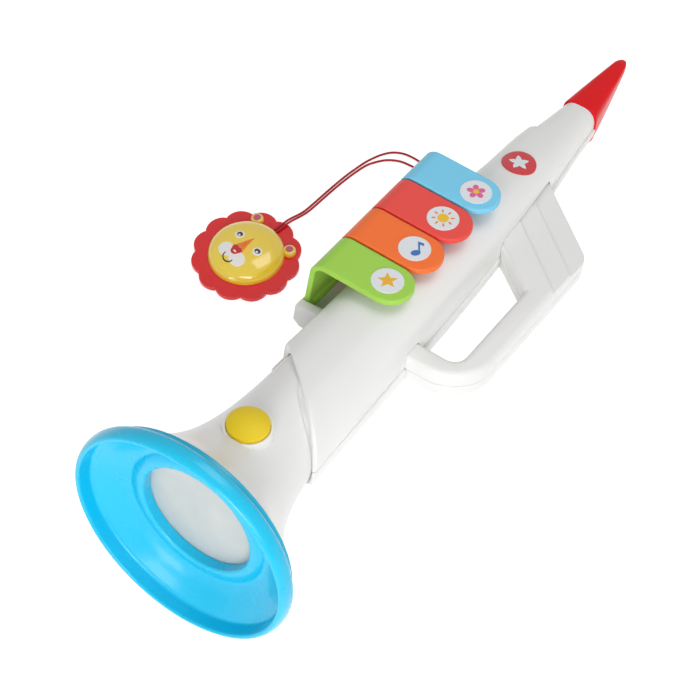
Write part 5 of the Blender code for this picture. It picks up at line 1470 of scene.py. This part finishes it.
class BuildDoor(Operator):
    """Cut the battery door out of the rear shell's own shape"""

    bl_idname = "trumpet.door"
    bl_label = "Battery door"

    def execute(self, context):
        door = combine(body_shell("battery_door_skin", False), block("room", *door_bounds(0.0)), "INTERSECT")
        centre = Vector((door_screw_place(), 0, 0))
        depth = body().rear_height + OVERRUN
        hole = cylinder("hole", DOOR_SCREW_HOLE_RADIUS, 0.0, depth, centre, -UP)
        door = cut(door, hole)
        finish_white("battery_door_skin", door, "battery_door", "door")
        return {"FINISHED"}


def door_screw_place():
    """Give the place of the battery door's screw, between the cells at the door's end."""
    return TRAY_END - DOOR_MARGIN - 2 * SCREW_HEAD_RADIUS


def screw_mesh(shank):
    """Make one pan-head screw with a cross recess: its head hangs below nought, its shank stands up."""
    head = SCREW_HEAD_HEIGHT
    shares = ((0.0, -1.0), (0.55, -1.0), (0.8, -0.86), (0.95, -0.6), (1.0, -0.3), (1.0, 0.0))
    outline = [(SCREW_HEAD_RADIUS * wide, head * tall) for wide, tall in shares]
    outline += [(SCREW_SHANK_RADIUS, 0.0), (SCREW_SHANK_RADIUS, shank - SCREW_POINT), (0.0, shank)]
    screw = spindle("screw", outline, Vector(), UP, 40)
    arm, half = RECESS_HALF_LENGTH, RECESS_HALF_WIDTH
    for a, b in ((arm, half), (half, arm)):
        bar = loft("bar", [
            [Vector((x * s, y * s, z)) for x, y in ((-a, -b), (a, -b), (a, b), (-a, b))]
            for z, s in ((-head - GAP, 1.0), (-0.35 * head, 0.55))
        ])
        screw = cut(screw, bar)
    return screw


class BuildScrews(Operator):
    """Set cross-recessed screws in the body's counterbores and in the battery door"""

    bl_idname = "trumpet.screws"
    bl_label = "Screws"

    def execute(self, context):
        zinc = once("zinc_plated_steel", plated_steel, "#A4A8AC", roughness=0.34, brush_mm=0.3)
        seats = [
            Vector((along, side, rear_surface(along, side) + SCREW_SEAT - GAP / 3))
            for along, side in screw_places()
        ]
        screws = copied(screw_mesh(SCREW_SHANK), seats, zinc, radians(37.0))
        names = ["body_screw_%d" % k for k in range(1, 6)]
        finish_piece("body_screws", screws, [zinc], names)
        place = Vector((door_screw_place(), 0, rear_surface(door_screw_place(), 0) - GAP / 3))
        screw = screw_mesh(DOOR_SCREW_SHANK)
        screw.transform(Matrix.Translation(place) @ Matrix.Diagonal((1, 1, DOOR_SCREW_HEAD_SHARE, 1)))
        finish_piece("battery_door_screw_detail", screw, [zinc], ["battery_door_screw"], "door")
        return {"FINISHED"}


class BuildHandle(Operator):
    """Build the two grip halves with rounded edges and the stepped web"""

    bl_idname = "trumpet.handle"
    bl_label = "Handle"

    def execute(self, context):
        own = handle()
        root = HANDLE_TONGUE - front_width(own.web_end)
        slant = (own.web_end - own.tip) / (own.reach + root)
        near, far = -own.reach - OVERRUN, OVERRUN
        for name, node, sign in (
            ("grip_front_skin", "handle_front_half", 1.0), ("grip_rear_skin", "handle_rear_half", -1.0),
        ):
            half = handle_block(name, sign)
            for count in (1, 2):
                line = own.tip - own.step_pitch * (3 - count)
                ring = [
                    (line + slant * (near + own.reach), near), (own.web_end + own.reach, near),
                    (own.web_end + own.reach, far), (line + slant * (far + own.reach), far),
                ]
                low = sign * (own.half_depth - own.step * count)
                cutter = prism("cutter", ring, low, sign * (own.half_depth + OVERRUN))
                half = cut(half, cutter)
            finish_white(name, half, node)
        return {"FINISHED"}


class BuildMouthpiece(Operator):
    """Loft the red mouthpiece"""

    bl_idname = "trumpet.mouthpiece"
    bl_label = "Mouthpiece"

    def execute(self, context):
        own = mouthpiece()
        end = body().end
        start = end + GAP
        narrow = front_width(end) - body().wall - SLIDE_GAP
        top = front_height(end) - body().wall - SLIDE_GAP
        bottom = body().wall + SLIDE_GAP - rear_height(end)
        plug = (start - MOUTHPIECE_PLUG, start)
        rings = [self.ring(place, narrow, top, bottom, REAR_ROUNDNESS) for place in plug]
        shares = [0.0, 0.004, 0.012] + [k / 24 for k in range(1, 22)]
        shares += [0.9, 0.925, 0.95, 0.97, 0.985, 0.994, 1.0]
        for share in shares:
            round_off = sqrt(max(1.0 - max((share - 0.88) / 0.12, 0.0) ** 2 * 0.8, 0.0))
            lip = 1.0 - 0.02 * max(1.0 - share / 0.012, 0.0) ** 2
            half_width = own.half_width * (1.0 - 0.73 * share ** 1.1) * round_off * lip
            upper = mix(*MOUTHPIECE_TOPS, share)
            lower = mix(*MOUTHPIECE_UNDERSIDES, share ** 1.05)
            middle, half = (upper + lower) / 2, (upper - lower) / 2 * round_off * lip
            place = start + own.length * share
            rings.append(self.ring(place, half_width, middle + half, middle - half, MOUTHPIECE_ROUNDNESS))
        mesh = loft("mouthpiece_skin", rings)
        red = once(
            "polished_red_abs", moulded_plastic, own.colour, roughness=0.3, grain_mm=0.6,
            grain_depth=0.008, coat=0.05, mottle=0.05, gleam=0.16)
        finish_piece("mouthpiece_skin", mesh, [red], ["mouthpiece"])
        return {"FINISHED"}

    def ring(self, along, half_width, top, bottom, roundness):
        """Give one closed ring of points round the mouthpiece."""
        middle, half = (top + bottom) / 2, (top - bottom) / 2
        points = []
        for k in range(72):
            angle = tau * k / 72
            side, height = arch_point(angle, half_width, half, roundness)
            points.append(Vector((along, side, middle + copysign(height, sin(angle)))))
        return points


def key_bend():
    """Give the middle of a key's roll, its foot, and the lengths of its flat and of its roll."""
    own = keys()
    centre = Vector((own.back - own.roll_radius, own.top - own.roll_radius))
    foot = Vector((own.hinge_side + own.thickness / 2, 0.0))
    lean = atan2(foot.x - own.back, centre.y - foot.y)
    flat = centre.x - (KEY_END - own.width / 2)
    return centre, foot, flat, own.roll_radius * (pi / 2 - lean)


def key_path(place):
    """Give the point and the outward normal on a key's outer face, for a length from its free end."""
    own = keys()
    centre, foot, flat, bend = key_bend()
    if place <= flat:
        return Vector((KEY_END - own.width / 2 + place, own.top)), Vector((0.0, 1.0))
    angle = pi / 2 - min(place - flat, bend) / own.roll_radius
    normal = Vector((cos(angle), sin(angle)))
    point = centre + normal * own.roll_radius
    if place > flat + bend:
        point += (foot - point).normalized() * (place - flat - bend)
    return point, normal


def key_mesh():
    """Make one key about its own middle, with its plunger, foot and bore."""
    own = keys()
    half = own.width / 2
    _, heel, flat, bend = key_bend()
    length = flat + bend + (heel - key_path(flat + bend)[0]).length
    places = [half * (1.0 - cos(radians(degrees))) for degrees in range(0, 91, 5)]
    places += [mix(half, length, k / 44) for k in range(1, 45)]
    shares = [sin(pi / 2 * k / 14) for k in range(-14, 15)]
    rings = []
    for place in places:
        gone = max(half - place, 0.0)
        reach = sqrt(max(half ** 2 - gone ** 2, 0.0))
        point, normal = key_path(place)
        top, under = [], []
        for share in shares:
            side = reach * share
            drop = edge_drop(half - hypot(side, gone), KEY_EDGE)
            outer, inner = point - normal * drop, point - normal * (own.thickness - drop * 0.5)
            top.append(Vector((side, outer.x, outer.y)))
            under.append(Vector((side, inner.x, inner.y)))
        rings.append(top + under[::-1])
    plate = loft("key", rings)
    hinge = Vector((0, own.hinge_side, 0))
    foot = cylinder("foot", FOOT_RADIUS, -half, half, hinge, AHEAD)
    stem = cylinder(
        "stem", PLUNGER_RADIUS, PLUNGER_LOW, own.top - own.thickness / 2,
        Vector((0, PLUNGER_SIDE, 0)), UP)
    key = combine(plate, merged("added", [foot, stem]), "UNION")
    return cut(key, cylinder("bore", ROD_RADIUS + GAP, -own.width, own.width, hinge, AHEAD))


class BuildKeys(Operator):
    """Bend the four coloured keys over their hinges"""

    bl_idname = "trumpet.key_set"
    bl_label = "Keys"

    def execute(self, context):
        for index, colour in enumerate(COLOURS):
            mesh = key_mesh()
            mesh.transform(Matrix.Translation((key_place(index), 0, 0)))
            finish_piece(
                "key_%s_skin" % colour, mesh, [key_abs(colour)], ["key_" + colour], colour + "_key")
        return {"FINISHED"}


def star_outline(points, outer, inner, turn=0.0):
    """Give a star's outline about the origin."""
    outline = []
    for k in range(2 * points):
        angle = turn + pi * k / points
        radius = inner if k % 2 else outer
        outline.append((radius * cos(angle), radius * sin(angle)))
    return outline


def ellipse_outline(x, y, half_x, half_y, turn=0.0, steps=28):
    """Give an ellipse's outline."""
    points = []
    for k in range(steps):
        angle = tau * k / steps
        a, b = half_x * cos(angle), half_y * sin(angle)
        points.append((
            x + a * cos(turn) - b * sin(turn), y + a * sin(turn) + b * cos(turn)))
    return points


def ring_of_ovals(count, reach, half_x, half_y, start, code):
    """Give equal ovals that point outwards round a circle, with their ink colour."""
    ovals = []
    for k in range(count):
        turn = tau / count * k + start
        x, y = reach * cos(turn), reach * sin(turn)
        ovals.append((ellipse_outline(x, y, half_x, half_y, turn), code))
    return ovals


def motif_shapes(colour):
    """Give one label's simple picture as outlines in millimetres with their ink colours."""
    if colour == "green":
        return [(star_outline(5, 5.2, 2.3, pi / 2), "#F2B51E")]
    if colour == "orange":
        note = [(1.7, -2.6), (1.7, 4.6), (4.6, 3.4), (4.6, 1.7), (2.6, 2.5), (2.6, -2.6)]
        return [(ellipse_outline(0.4, -3.0, 2.5, 1.8, 0.35), "#2C6FB8"), (note, "#2C6FB8")]
    if colour == "red":
        rays = ring_of_ovals(8, 4.7, 1.1, 0.5, 0.0, "#F08A1C")
        return [(ellipse_outline(0, 0, 2.9, 2.9), "#F6C21C"), *rays]
    petals = ring_of_ovals(5, 2.9, 1.9, 1.5, pi / 2, "#E2609A")
    return petals + [(ellipse_outline(0, 0, 1.5, 1.5), "#F6C21C")]


class BuildLabels(Operator):
    """Stick the round printed labels on the keys and the red one on the body"""

    bl_idname = "trumpet.labels"
    bl_label = "Labels"

    def execute(self, context):
        own = keys()
        film = once("printed_white_film", printed_film, "#E8ECF0")
        for index, colour in enumerate(COLOURS):
            centre = Vector((
                key_place(index), KEY_END + own.label_radius * LABEL_SHIFT_SHARES[index], own.top))
            r, low, high = own.label_radius, FILM_GAP, LABEL_HEIGHT
            outline = ((0.0, low), (r, low), (r, high - LABEL_EDGE), (r - LABEL_EDGE, high), (0.0, high))
            label = spindle("label", outline, centre, UP, 72)
            finish_piece(
                "key_label_%s_film" % colour, label, [film], ["key_label_" + colour],
                colour + "_key")
            parts = []
            for step, (shape, code) in enumerate(motif_shapes(colour)):
                flat = [centre.xy + (LABEL_RIGHT * x + LABEL_UP * y) * MM for x, y in shape]
                base = centre.z + high
                plate = prism("ink", flat, base - FILM_GAP, base + INK_HEIGHT + INK_STEP * step)
                plate.materials.append(once("printed_film_" + code[1:].lower(), printed_film, code))
                parts.append(plate)
            finish_piece(
                "key_motif_" + colour, merged("motif", parts), None, body_name=colour + "_key")

        red = once("printed_red_film", printed_film, "#D2303A")
        disc = self.draped(
            "round_label_film", lambda angle: ROUND_LABEL_RADIUS, SEAT_GAP, ROUND_LABEL_HEIGHT)
        finish_piece("round_label_film", disc, [red], ["round_label"])
        low, high = ROUND_LABEL_HEIGHT - SEAT_GAP, ROUND_LABEL_HEIGHT + STAR_HEIGHT
        star = self.draped("round_label_star", self.star_radius, low, high)
        finish_piece("round_label_star", star, [film])
        return {"FINISHED"}

    def star_radius(self, angle):
        """Give the radius of a soft five-pointed star at one angle."""
        turn = angle - atan2(LABEL_UP.y, LABEL_UP.x)
        phase = abs((turn / (tau / 5) + 0.5) % 1.0 - 0.5) * 2
        return mix(*STAR_RADII, phase ** 0.85)

    def draped(self, name, radius_of, low, high):
        """Make a thin plate that lies on the front shell's curved face."""
        rings = []
        levels = [(share, low) for share in (0.0, 0.35, 0.7, 1.0)]
        levels += [(share, high) for share in (1.0, 0.97, 0.85, 0.7, 0.5, 0.25, 0.0)]
        for share, lift in levels:
            ring = []
            for k in range(80):
                angle = tau * k / 80
                reach = radius_of(angle) * share
                along = ROUND_LABEL_PLACE + reach * cos(angle)
                side = reach * sin(angle)
                rounding = STAR_HEIGHT if share == 1.0 and lift == high else 0.0
                ring.append(Vector((along, side, front_surface(along, side) + lift - rounding)))
            rings.append(ring)
        return loft(name, rings)


class BuildRail(Operator):
    """Build the hinge rail with its ears and the anchor that holds the cord"""

    bl_idname = "trumpet.rail"
    bl_label = "Hinge rail"

    def execute(self, context):
        own = keys()
        half = own.width / 2 + RAIL_END_GAP + RAIL_END_WALL
        start, end = key_place(0) - half, key_place(3) + half
        rings = []
        for k in range(25):
            along = mix(start, end, k / 24)
            side = body_width(along) + SEAT_GAP
            section = ((side, RAIL_ROOT), *RAIL_SIDE, (side, RAIL_SIDE[-1][1]))
            rings.append([Vector((along, *corner)) for corner in section])
        rail = rounded_edges(loft("rail", rings), RAIL_EDGE, 3, 24.0)
        pocket = block(
            "pocket", (start + RAIL_END_WALL, 0, RAIL_FLOOR),
            (end - RAIL_END_WALL, RAIL_SIDE[1][0] + OVERRUN, RAIL_ROOT + OVERRUN))
        rail = cut(rail, pocket)
        hinge = Vector((0, own.hinge_side, 0))
        hole = cylinder("hole", ROD_RADIUS + GAP, start + RAIL_END_WALL / 4, end + OVERRUN, hinge, AHEAD)
        rail = cut(rail, hole)
        finish_white("hinge_rail_skin", rail, "key_hinge_rail")
        low = (end + SEAT_GAP, own.hinge_side - ANCHOR_HALF_WIDTH, -ANCHOR_HALF_HEIGHT)
        high = (end + ANCHOR_LENGTH, own.hinge_side + ANCHOR_HALF_WIDTH, ANCHOR_HALF_HEIGHT)
        anchor = rounded_edges(block("anchor", low, high), ANCHOR_EDGE, 4)
        finish_white("cord_anchor_skin", anchor, "cord_anchor")
        return {"FINISHED"}


def charm_point(radius, angle, height):
    """Give a place on the charm in floor coordinates."""
    turn = charm().turn + angle
    return Vector((charm().x + radius * cos(turn), charm().y + radius * sin(turn), height))


def face_point(right, up, lift):
    """Give a place on the charm's domed face, for millimetres to the right and up."""
    radius = hypot(right, up) * MM
    dome = arch_height(radius, charm().face_radius, charm().face_height, FACE_ROUNDNESS)
    height = charm().thickness + GAP + dome + lift * MM
    return charm_point(radius, atan2(-right, up), height)


def face_patch(right, up, half_right, half_up, lift, turn=0.0):
    """Make a thin oval that lies on the domed face."""
    rings = []
    levels = [(share, -0.15) for share in (0.0, 0.5, 1.0)]
    levels += [(share, lift) for share in (1.0, 0.96, 0.8, 0.5, 0.25, 0.0)]
    for share, height in levels:
        outline = ellipse_outline(right, up, half_right * share, half_up * share, turn, 40)
        raised = height if share < 1.0 or height < 0 else height * 0.6
        rings.append([face_point(x, y, raised) for x, y in outline])
    return loft("patch", rings)


def face_stroke(points, width, lift):
    """Make a thin line that lies on the domed face."""
    path = smooth_outline([(x, y, 0) for x, y in points], 6)
    rings = []
    for index, point in enumerate(path):
        ahead = path[min(index + 1, len(path) - 1)] - path[max(index - 1, 0)]
        side = Vector((-ahead.y, ahead.x, 0)).normalized() * width / 2
        narrowing = 0.45 if index in (0, len(path) - 1) else 1.0
        left, right = point + side * narrowing, point - side * narrowing
        rings.append([
            face_point(left.x, left.y, -0.1), face_point(right.x, right.y, -0.1),
            face_point(right.x, right.y, lift), face_point(left.x, left.y, lift),
        ])
    return loft("stroke", rings)


# Printed ovals in millimetres to the right and up: middle, half sizes, height and ink; those that
# come in pairs start with how far each lies to its own side
PAIRED_OVALS = (
    (4.2, -0.4, -8.9, 4.7, 3.9, 0.08, "white"), (7.2, 0.0, 1.8, 2.5, 2.6, 0.10, "white"),
    (7.2, 0.0, 2.0, 1.7, 1.5, 0.15, "black"), (7.2, 0.2, 1.4, 0.75, 0.6, 0.20, "white"),
    (1.25, -0.6, -5.2, 1.75, 1.7, 0.32, "red"),
)
NOSE_OVALS = ((-0.6, -6.5, 2.3, 2.2, 0.34, "red"), (-0.2, -6.9, 1.1, 0.5, 0.42, "white"))
SMILE = ((-3.3, -10.5), (-2.8, -12.5), (-0.3, -13.9), (2.3, -13.0), (3.1, -11.0))
INKS = {"black": "#1C1A1E", "white": "#F4F2EE", "pink": "#C4567E", "red": "#C81420", "orange": "#FF8628"}


def inked(mesh, name):
    """Give a mesh pad-printed ink, which is a thin glossy layer on the plastic."""
    mesh.materials.append(once("pad_printed_%s_ink" % name, printed_film, INKS[name], 0.3))
    return mesh


class BuildCharm(Operator):
    """Build the scalloped red disc and the domed lion face with its ears and printed features"""

    bl_idname = "trumpet.charm"
    bl_label = "Charm"

    def execute(self, context):
        own = charm()
        steps = own.scallops * 24
        bends = (0, 0.4, 0.8, 1.2, pi / 2)
        layers = [(MANE_EDGE * (1 - sin(a)), MANE_EDGE * (1 - cos(a))) for a in bends]
        layers += [(inward, own.thickness - high) for inward, high in reversed(layers)]
        rings = []
        for inward, height in layers:
            ring = []
            for k in range(steps):
                angle = tau * k / steps
                bump = abs(cos(own.scallops * angle / 2)) ** 0.75
                ring.append(charm_point(own.radius - SCALLOP_DEPTH * (1.0 - bump) - inward, angle, height))
            rings.append(ring)
        disc = loft("disc", rings)
        post = cylinder(
            "post", CORD_POST_RADIUS, own.thickness / 2, own.thickness + OVERRUN,
            charm_point(*CORD_POST, 0), UP, 24)
        mane = once(
            "polished_mane_abs", moulded_plastic, own.mane_colour, roughness=0.24, grain_mm=1.2,
            grain_depth=0.008, coat=0.3, mottle=0.06, gleam=0.3, soft=0.12)
        disc = combine(disc, post, "UNION")
        finish_piece("charm_mane", disc, [mane], ["charm_disc"], place=Matrix())

        base = own.thickness + FILM_GAP
        outline = []
        crown = own.face_height + GAP
        for k in range(28):
            outline.append(arch_point(radians(90 * k / 28), own.face_radius, crown, FACE_ROUNDNESS))
        outline.append((0.0, crown))
        dome = spindle("dome", outline, charm_point(0, 0, base), UP, 128)
        lobes = []
        shares = ((1.0, 0.0), (1.0, 0.5), (0.96, 0.72), (0.86, 0.9), (0.7, 0.99), (0.0, 1.0))
        lobe = [(EAR_RADIUS * wide, EAR_HEIGHT * tall) for wide, tall in shares]
        for sign in (1.0, -1.0):
            lobes.append(spindle("ear", lobe, charm_point(EAR_PLACE[0], sign * EAR_PLACE[1], base), UP, 48))
        face = combine(dome, merged("ears", lobes), "UNION")
        inner = [(r - FACE_WALL, height - FACE_WALL) for r, height in outline[3:-1] if r > HOLLOW_MIDDLE]
        inner = [(inner[0][0], -OVERRUN)] + inner + [(0.0, own.face_height - FACE_WALL)]
        face = cut(face, spindle("hollow", inner, charm_point(0, 0, base), UP, 96))
        low = (CORD_POST[0], -CORD_NOTCH_HALF_WIDTH, -OVERRUN)
        high = (own.face_radius + OVERRUN, CORD_NOTCH_HALF_WIDTH, base + CORD_NOTCH_HEIGHT)
        notch = rounded_edges(block("notch", low, high), CORD_NOTCH_EDGE)
        notch.transform(
            Matrix.Translation((own.x, own.y, 0)) @ Matrix.Rotation(own.turn + CORD_POST[1], 4, "Z"))
        face = cut(face, notch)
        golden = once(
            "polished_golden_abs", moulded_plastic, own.face_colour, roughness=0.14, grain_mm=1.2,
            grain_depth=0.006, coat=0.6, mottle=0.05)
        finish_piece("charm_lion_face", face, [golden], ["charm_face"], place=Matrix())

        ovals = [(right + out * sign, *rest) for sign in (1.0, -1.0) for out, right, *rest in PAIRED_OVALS]
        for share in (0.0, 0.2, 0.4, 0.6, 0.8, 1.0):
            ovals.append((-0.3, mix(-4.3, 4.3, share), mix(3.2, 0.45, share), 1.5, 0.14, "orange"))
        parts = [inked(face_patch(*oval), name) for *oval, name in (*ovals, *NOSE_OVALS)]
        parts.append(inked(face_stroke(SMILE, 0.6, 0.2), "black"))
        finish_piece(
            "charm_face_print", merged("print", parts), None, sharp=40.0, place=Matrix())
        ears = []
        shares = ((0.0, 0.0), (1.0, 0.0), (0.95, 0.75), (0.0, 1.0))
        film = [(INNER_EAR_RADIUS * wide, INNER_EAR_HEIGHT * tall) for wide, tall in shares]
        for sign in (1.0, -1.0):
            place = charm_point(EAR_PLACE[0], sign * EAR_PLACE[1], base + EAR_HEIGHT - INK_HEIGHT)
            ears.append(inked(spindle("ear", film, place, UP, 32), "pink"))
        finish_piece("charm_inner_ears", merged("ears", ears), None, sharp=40.0, place=Matrix())

        return {"FINISHED"}


class BuildSwitch(Operator):
    """Build the sliding switch's ribbed knob"""

    bl_idname = "trumpet.switch"
    bl_label = "Switch knob"

    def execute(self, context):
        place = switch_place()
        top = rear_surface(place, 0)
        thumb = THUMB_HALF_WIDTH
        black = black_abs()
        stem = rounded_edges(
            block("stem", (place - thumb, -thumb, top - THUMB_PROUD),
                  (place + thumb, thumb, top + STEM_DEPTH)),
            THUMB_EDGE)
        side = thumb - RIB_END_GAP
        rib = block("rib", (-RIB_HALF_WIDTH, -side, -RIB_HEIGHT), (RIB_HALF_WIDTH, side, RIB_SINK))
        rib = rounded_edges(rib, RIB_HALF_WIDTH / 2)
        points = [Vector((place + RIB_PITCH * k, 0, top - THUMB_PROUD)) for k in (-1.5, -0.5, 0.5, 1.5)]
        ribs = copied(rib, points, black)
        knob = combine(stem, ribs, "UNION")
        finish_piece("switch_knob_ribbed", knob, [black], ["power_switch_knob"], "switch_knob")
        return {"FINISHED"}


class BuildDomes(Operator):
    """Build the silicone domes under the keys and the button"""

    bl_idname = "trumpet.domes"
    bl_label = "Switch domes"

    def execute(self, context):
        silicone = once("moulded_silicone", silicone_rubber)
        upright = laid_frame()
        flat = upright.inverted()
        shares = (
            (1.0, 0.0), (1.0, 0.11), (0.93, 0.16), (0.70, 0.72), (0.62, 0.80), (0.56, 0.83), (0.56, 1.0),
        )
        for name in ("green_key", "orange_key", "red_key", "blue_key", "button"):
            joint = name + "_press"
            node = "button_dome" if name == "button" else "key_dome_" + name.split("_")[0]
            corners = [flat @ vertex.co for vertex in frame["nodes"][node].data.vertices]
            low, high = (Vector([pick(c[axis] for c in corners) for axis in range(3)]) for pick in (min, max))
            radius, height = (high.x - low.x) / 2, high.z - low.z
            base = Vector(((low.x + high.x) / 2, (low.y + high.y) / 2, low.z))
            dome = spindle("dome", [(radius * wide, height * tall) for wide, tall in shares], base, UP, 40)
            piece = finish_piece(joint + "_silicone_dome", dome, [silicone], [node])
            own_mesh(piece)
        return {"FINISHED"}


class FinishInside(Operator):
    """Give the parts inside the shells their own materials"""

    bl_idname = "trumpet.inside"
    bl_label = "Inner parts"

    def execute(self, context):
        laminate = once("solder_masked_laminate", circuit_laminate)
        epoxy = once("cast_clear_epoxy", clear_epoxy)
        nickel = once("nickel_plated_spring_steel", plated_steel, "#C8CACC", roughness=0.26, brush_mm=0.5)
        black = black_abs()
        sleeve = once("shrunk_battery_sleeve", printed_film, "#3A4048")
        cone = once(
            "pressed_paper_cone", moulded_plastic, linear("#26282B"), roughness=0.7,
            grain_mm=0.7, grain_depth=0.03)
        finishes = {
            "led": epoxy, "light_board": laminate, "circuit_board": laminate, "speaker": cone,
            "battery_tray": black, "battery_spring": nickel, "battery_link": nickel,
            "battery_left": sleeve, "battery_right": sleeve, "power_switch_body": black,
            "key_hinge_rod": nickel,
        }
        for name, node in frame["nodes"].items():
            if node.hide_render:
                continue
            found = [material for start, material in finishes.items() if name.startswith(start)]
            if not found:
                raise RuntimeError("no finish for " + name)
            for slot in node.material_slots:
                slot.material = found[0]
        return {"FINISHED"}


STEPS = (
    BuildStage, BuildCord, BuildBell, BuildNeck, BuildButton, BuildShells, BuildDoor, BuildScrews,
    BuildHandle, BuildMouthpiece, BuildKeys, BuildLabels, BuildRail, BuildCharm, BuildSwitch, BuildDomes,
    FinishInside,
)


class TrumpetPanel(Panel):
    """The trumpet's operators and settings in the sidebar"""

    bl_idname = "VIEW3D_PT_trumpet"
    bl_label = "Toy trumpet"
    bl_space_type = "VIEW_3D"
    bl_region_type = "UI"
    bl_category = "Trumpet"

    def draw(self, context):
        for step in STEPS:
            self.layout.operator(step.bl_idname)
        for name in SETTINGS:
            box = self.layout.box()
            group = getattr(context.scene, "trumpet_" + name)
            for key in group.bl_rna.properties.keys():
                if key not in ("rna_type", "name"):
                    box.prop(group, key)


def register():
    """Register the settings, the operators and the panel."""
    for name, group in SETTINGS.items():
        bpy.utils.register_class(group)
        setattr(Scene, "trumpet_" + name, PointerProperty(type=group))
    for step in STEPS:
        bpy.utils.register_class(step)
    bpy.utils.register_class(TrumpetPanel)


def unregister():
    """Take everything out again."""
    bpy.utils.unregister_class(TrumpetPanel)
    for step in reversed(STEPS):
        bpy.utils.unregister_class(step)
    for name, group in SETTINGS.items():
        delattr(Scene, "trumpet_" + name)
        bpy.utils.unregister_class(group)


def main():
    """Build the whole scene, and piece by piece."""
    register()
    for step in STEPS:
        space, name = step.bl_idname.split(".")
        getattr(getattr(bpy.ops, space), name)()


if __name__ == "__main__":
    main()
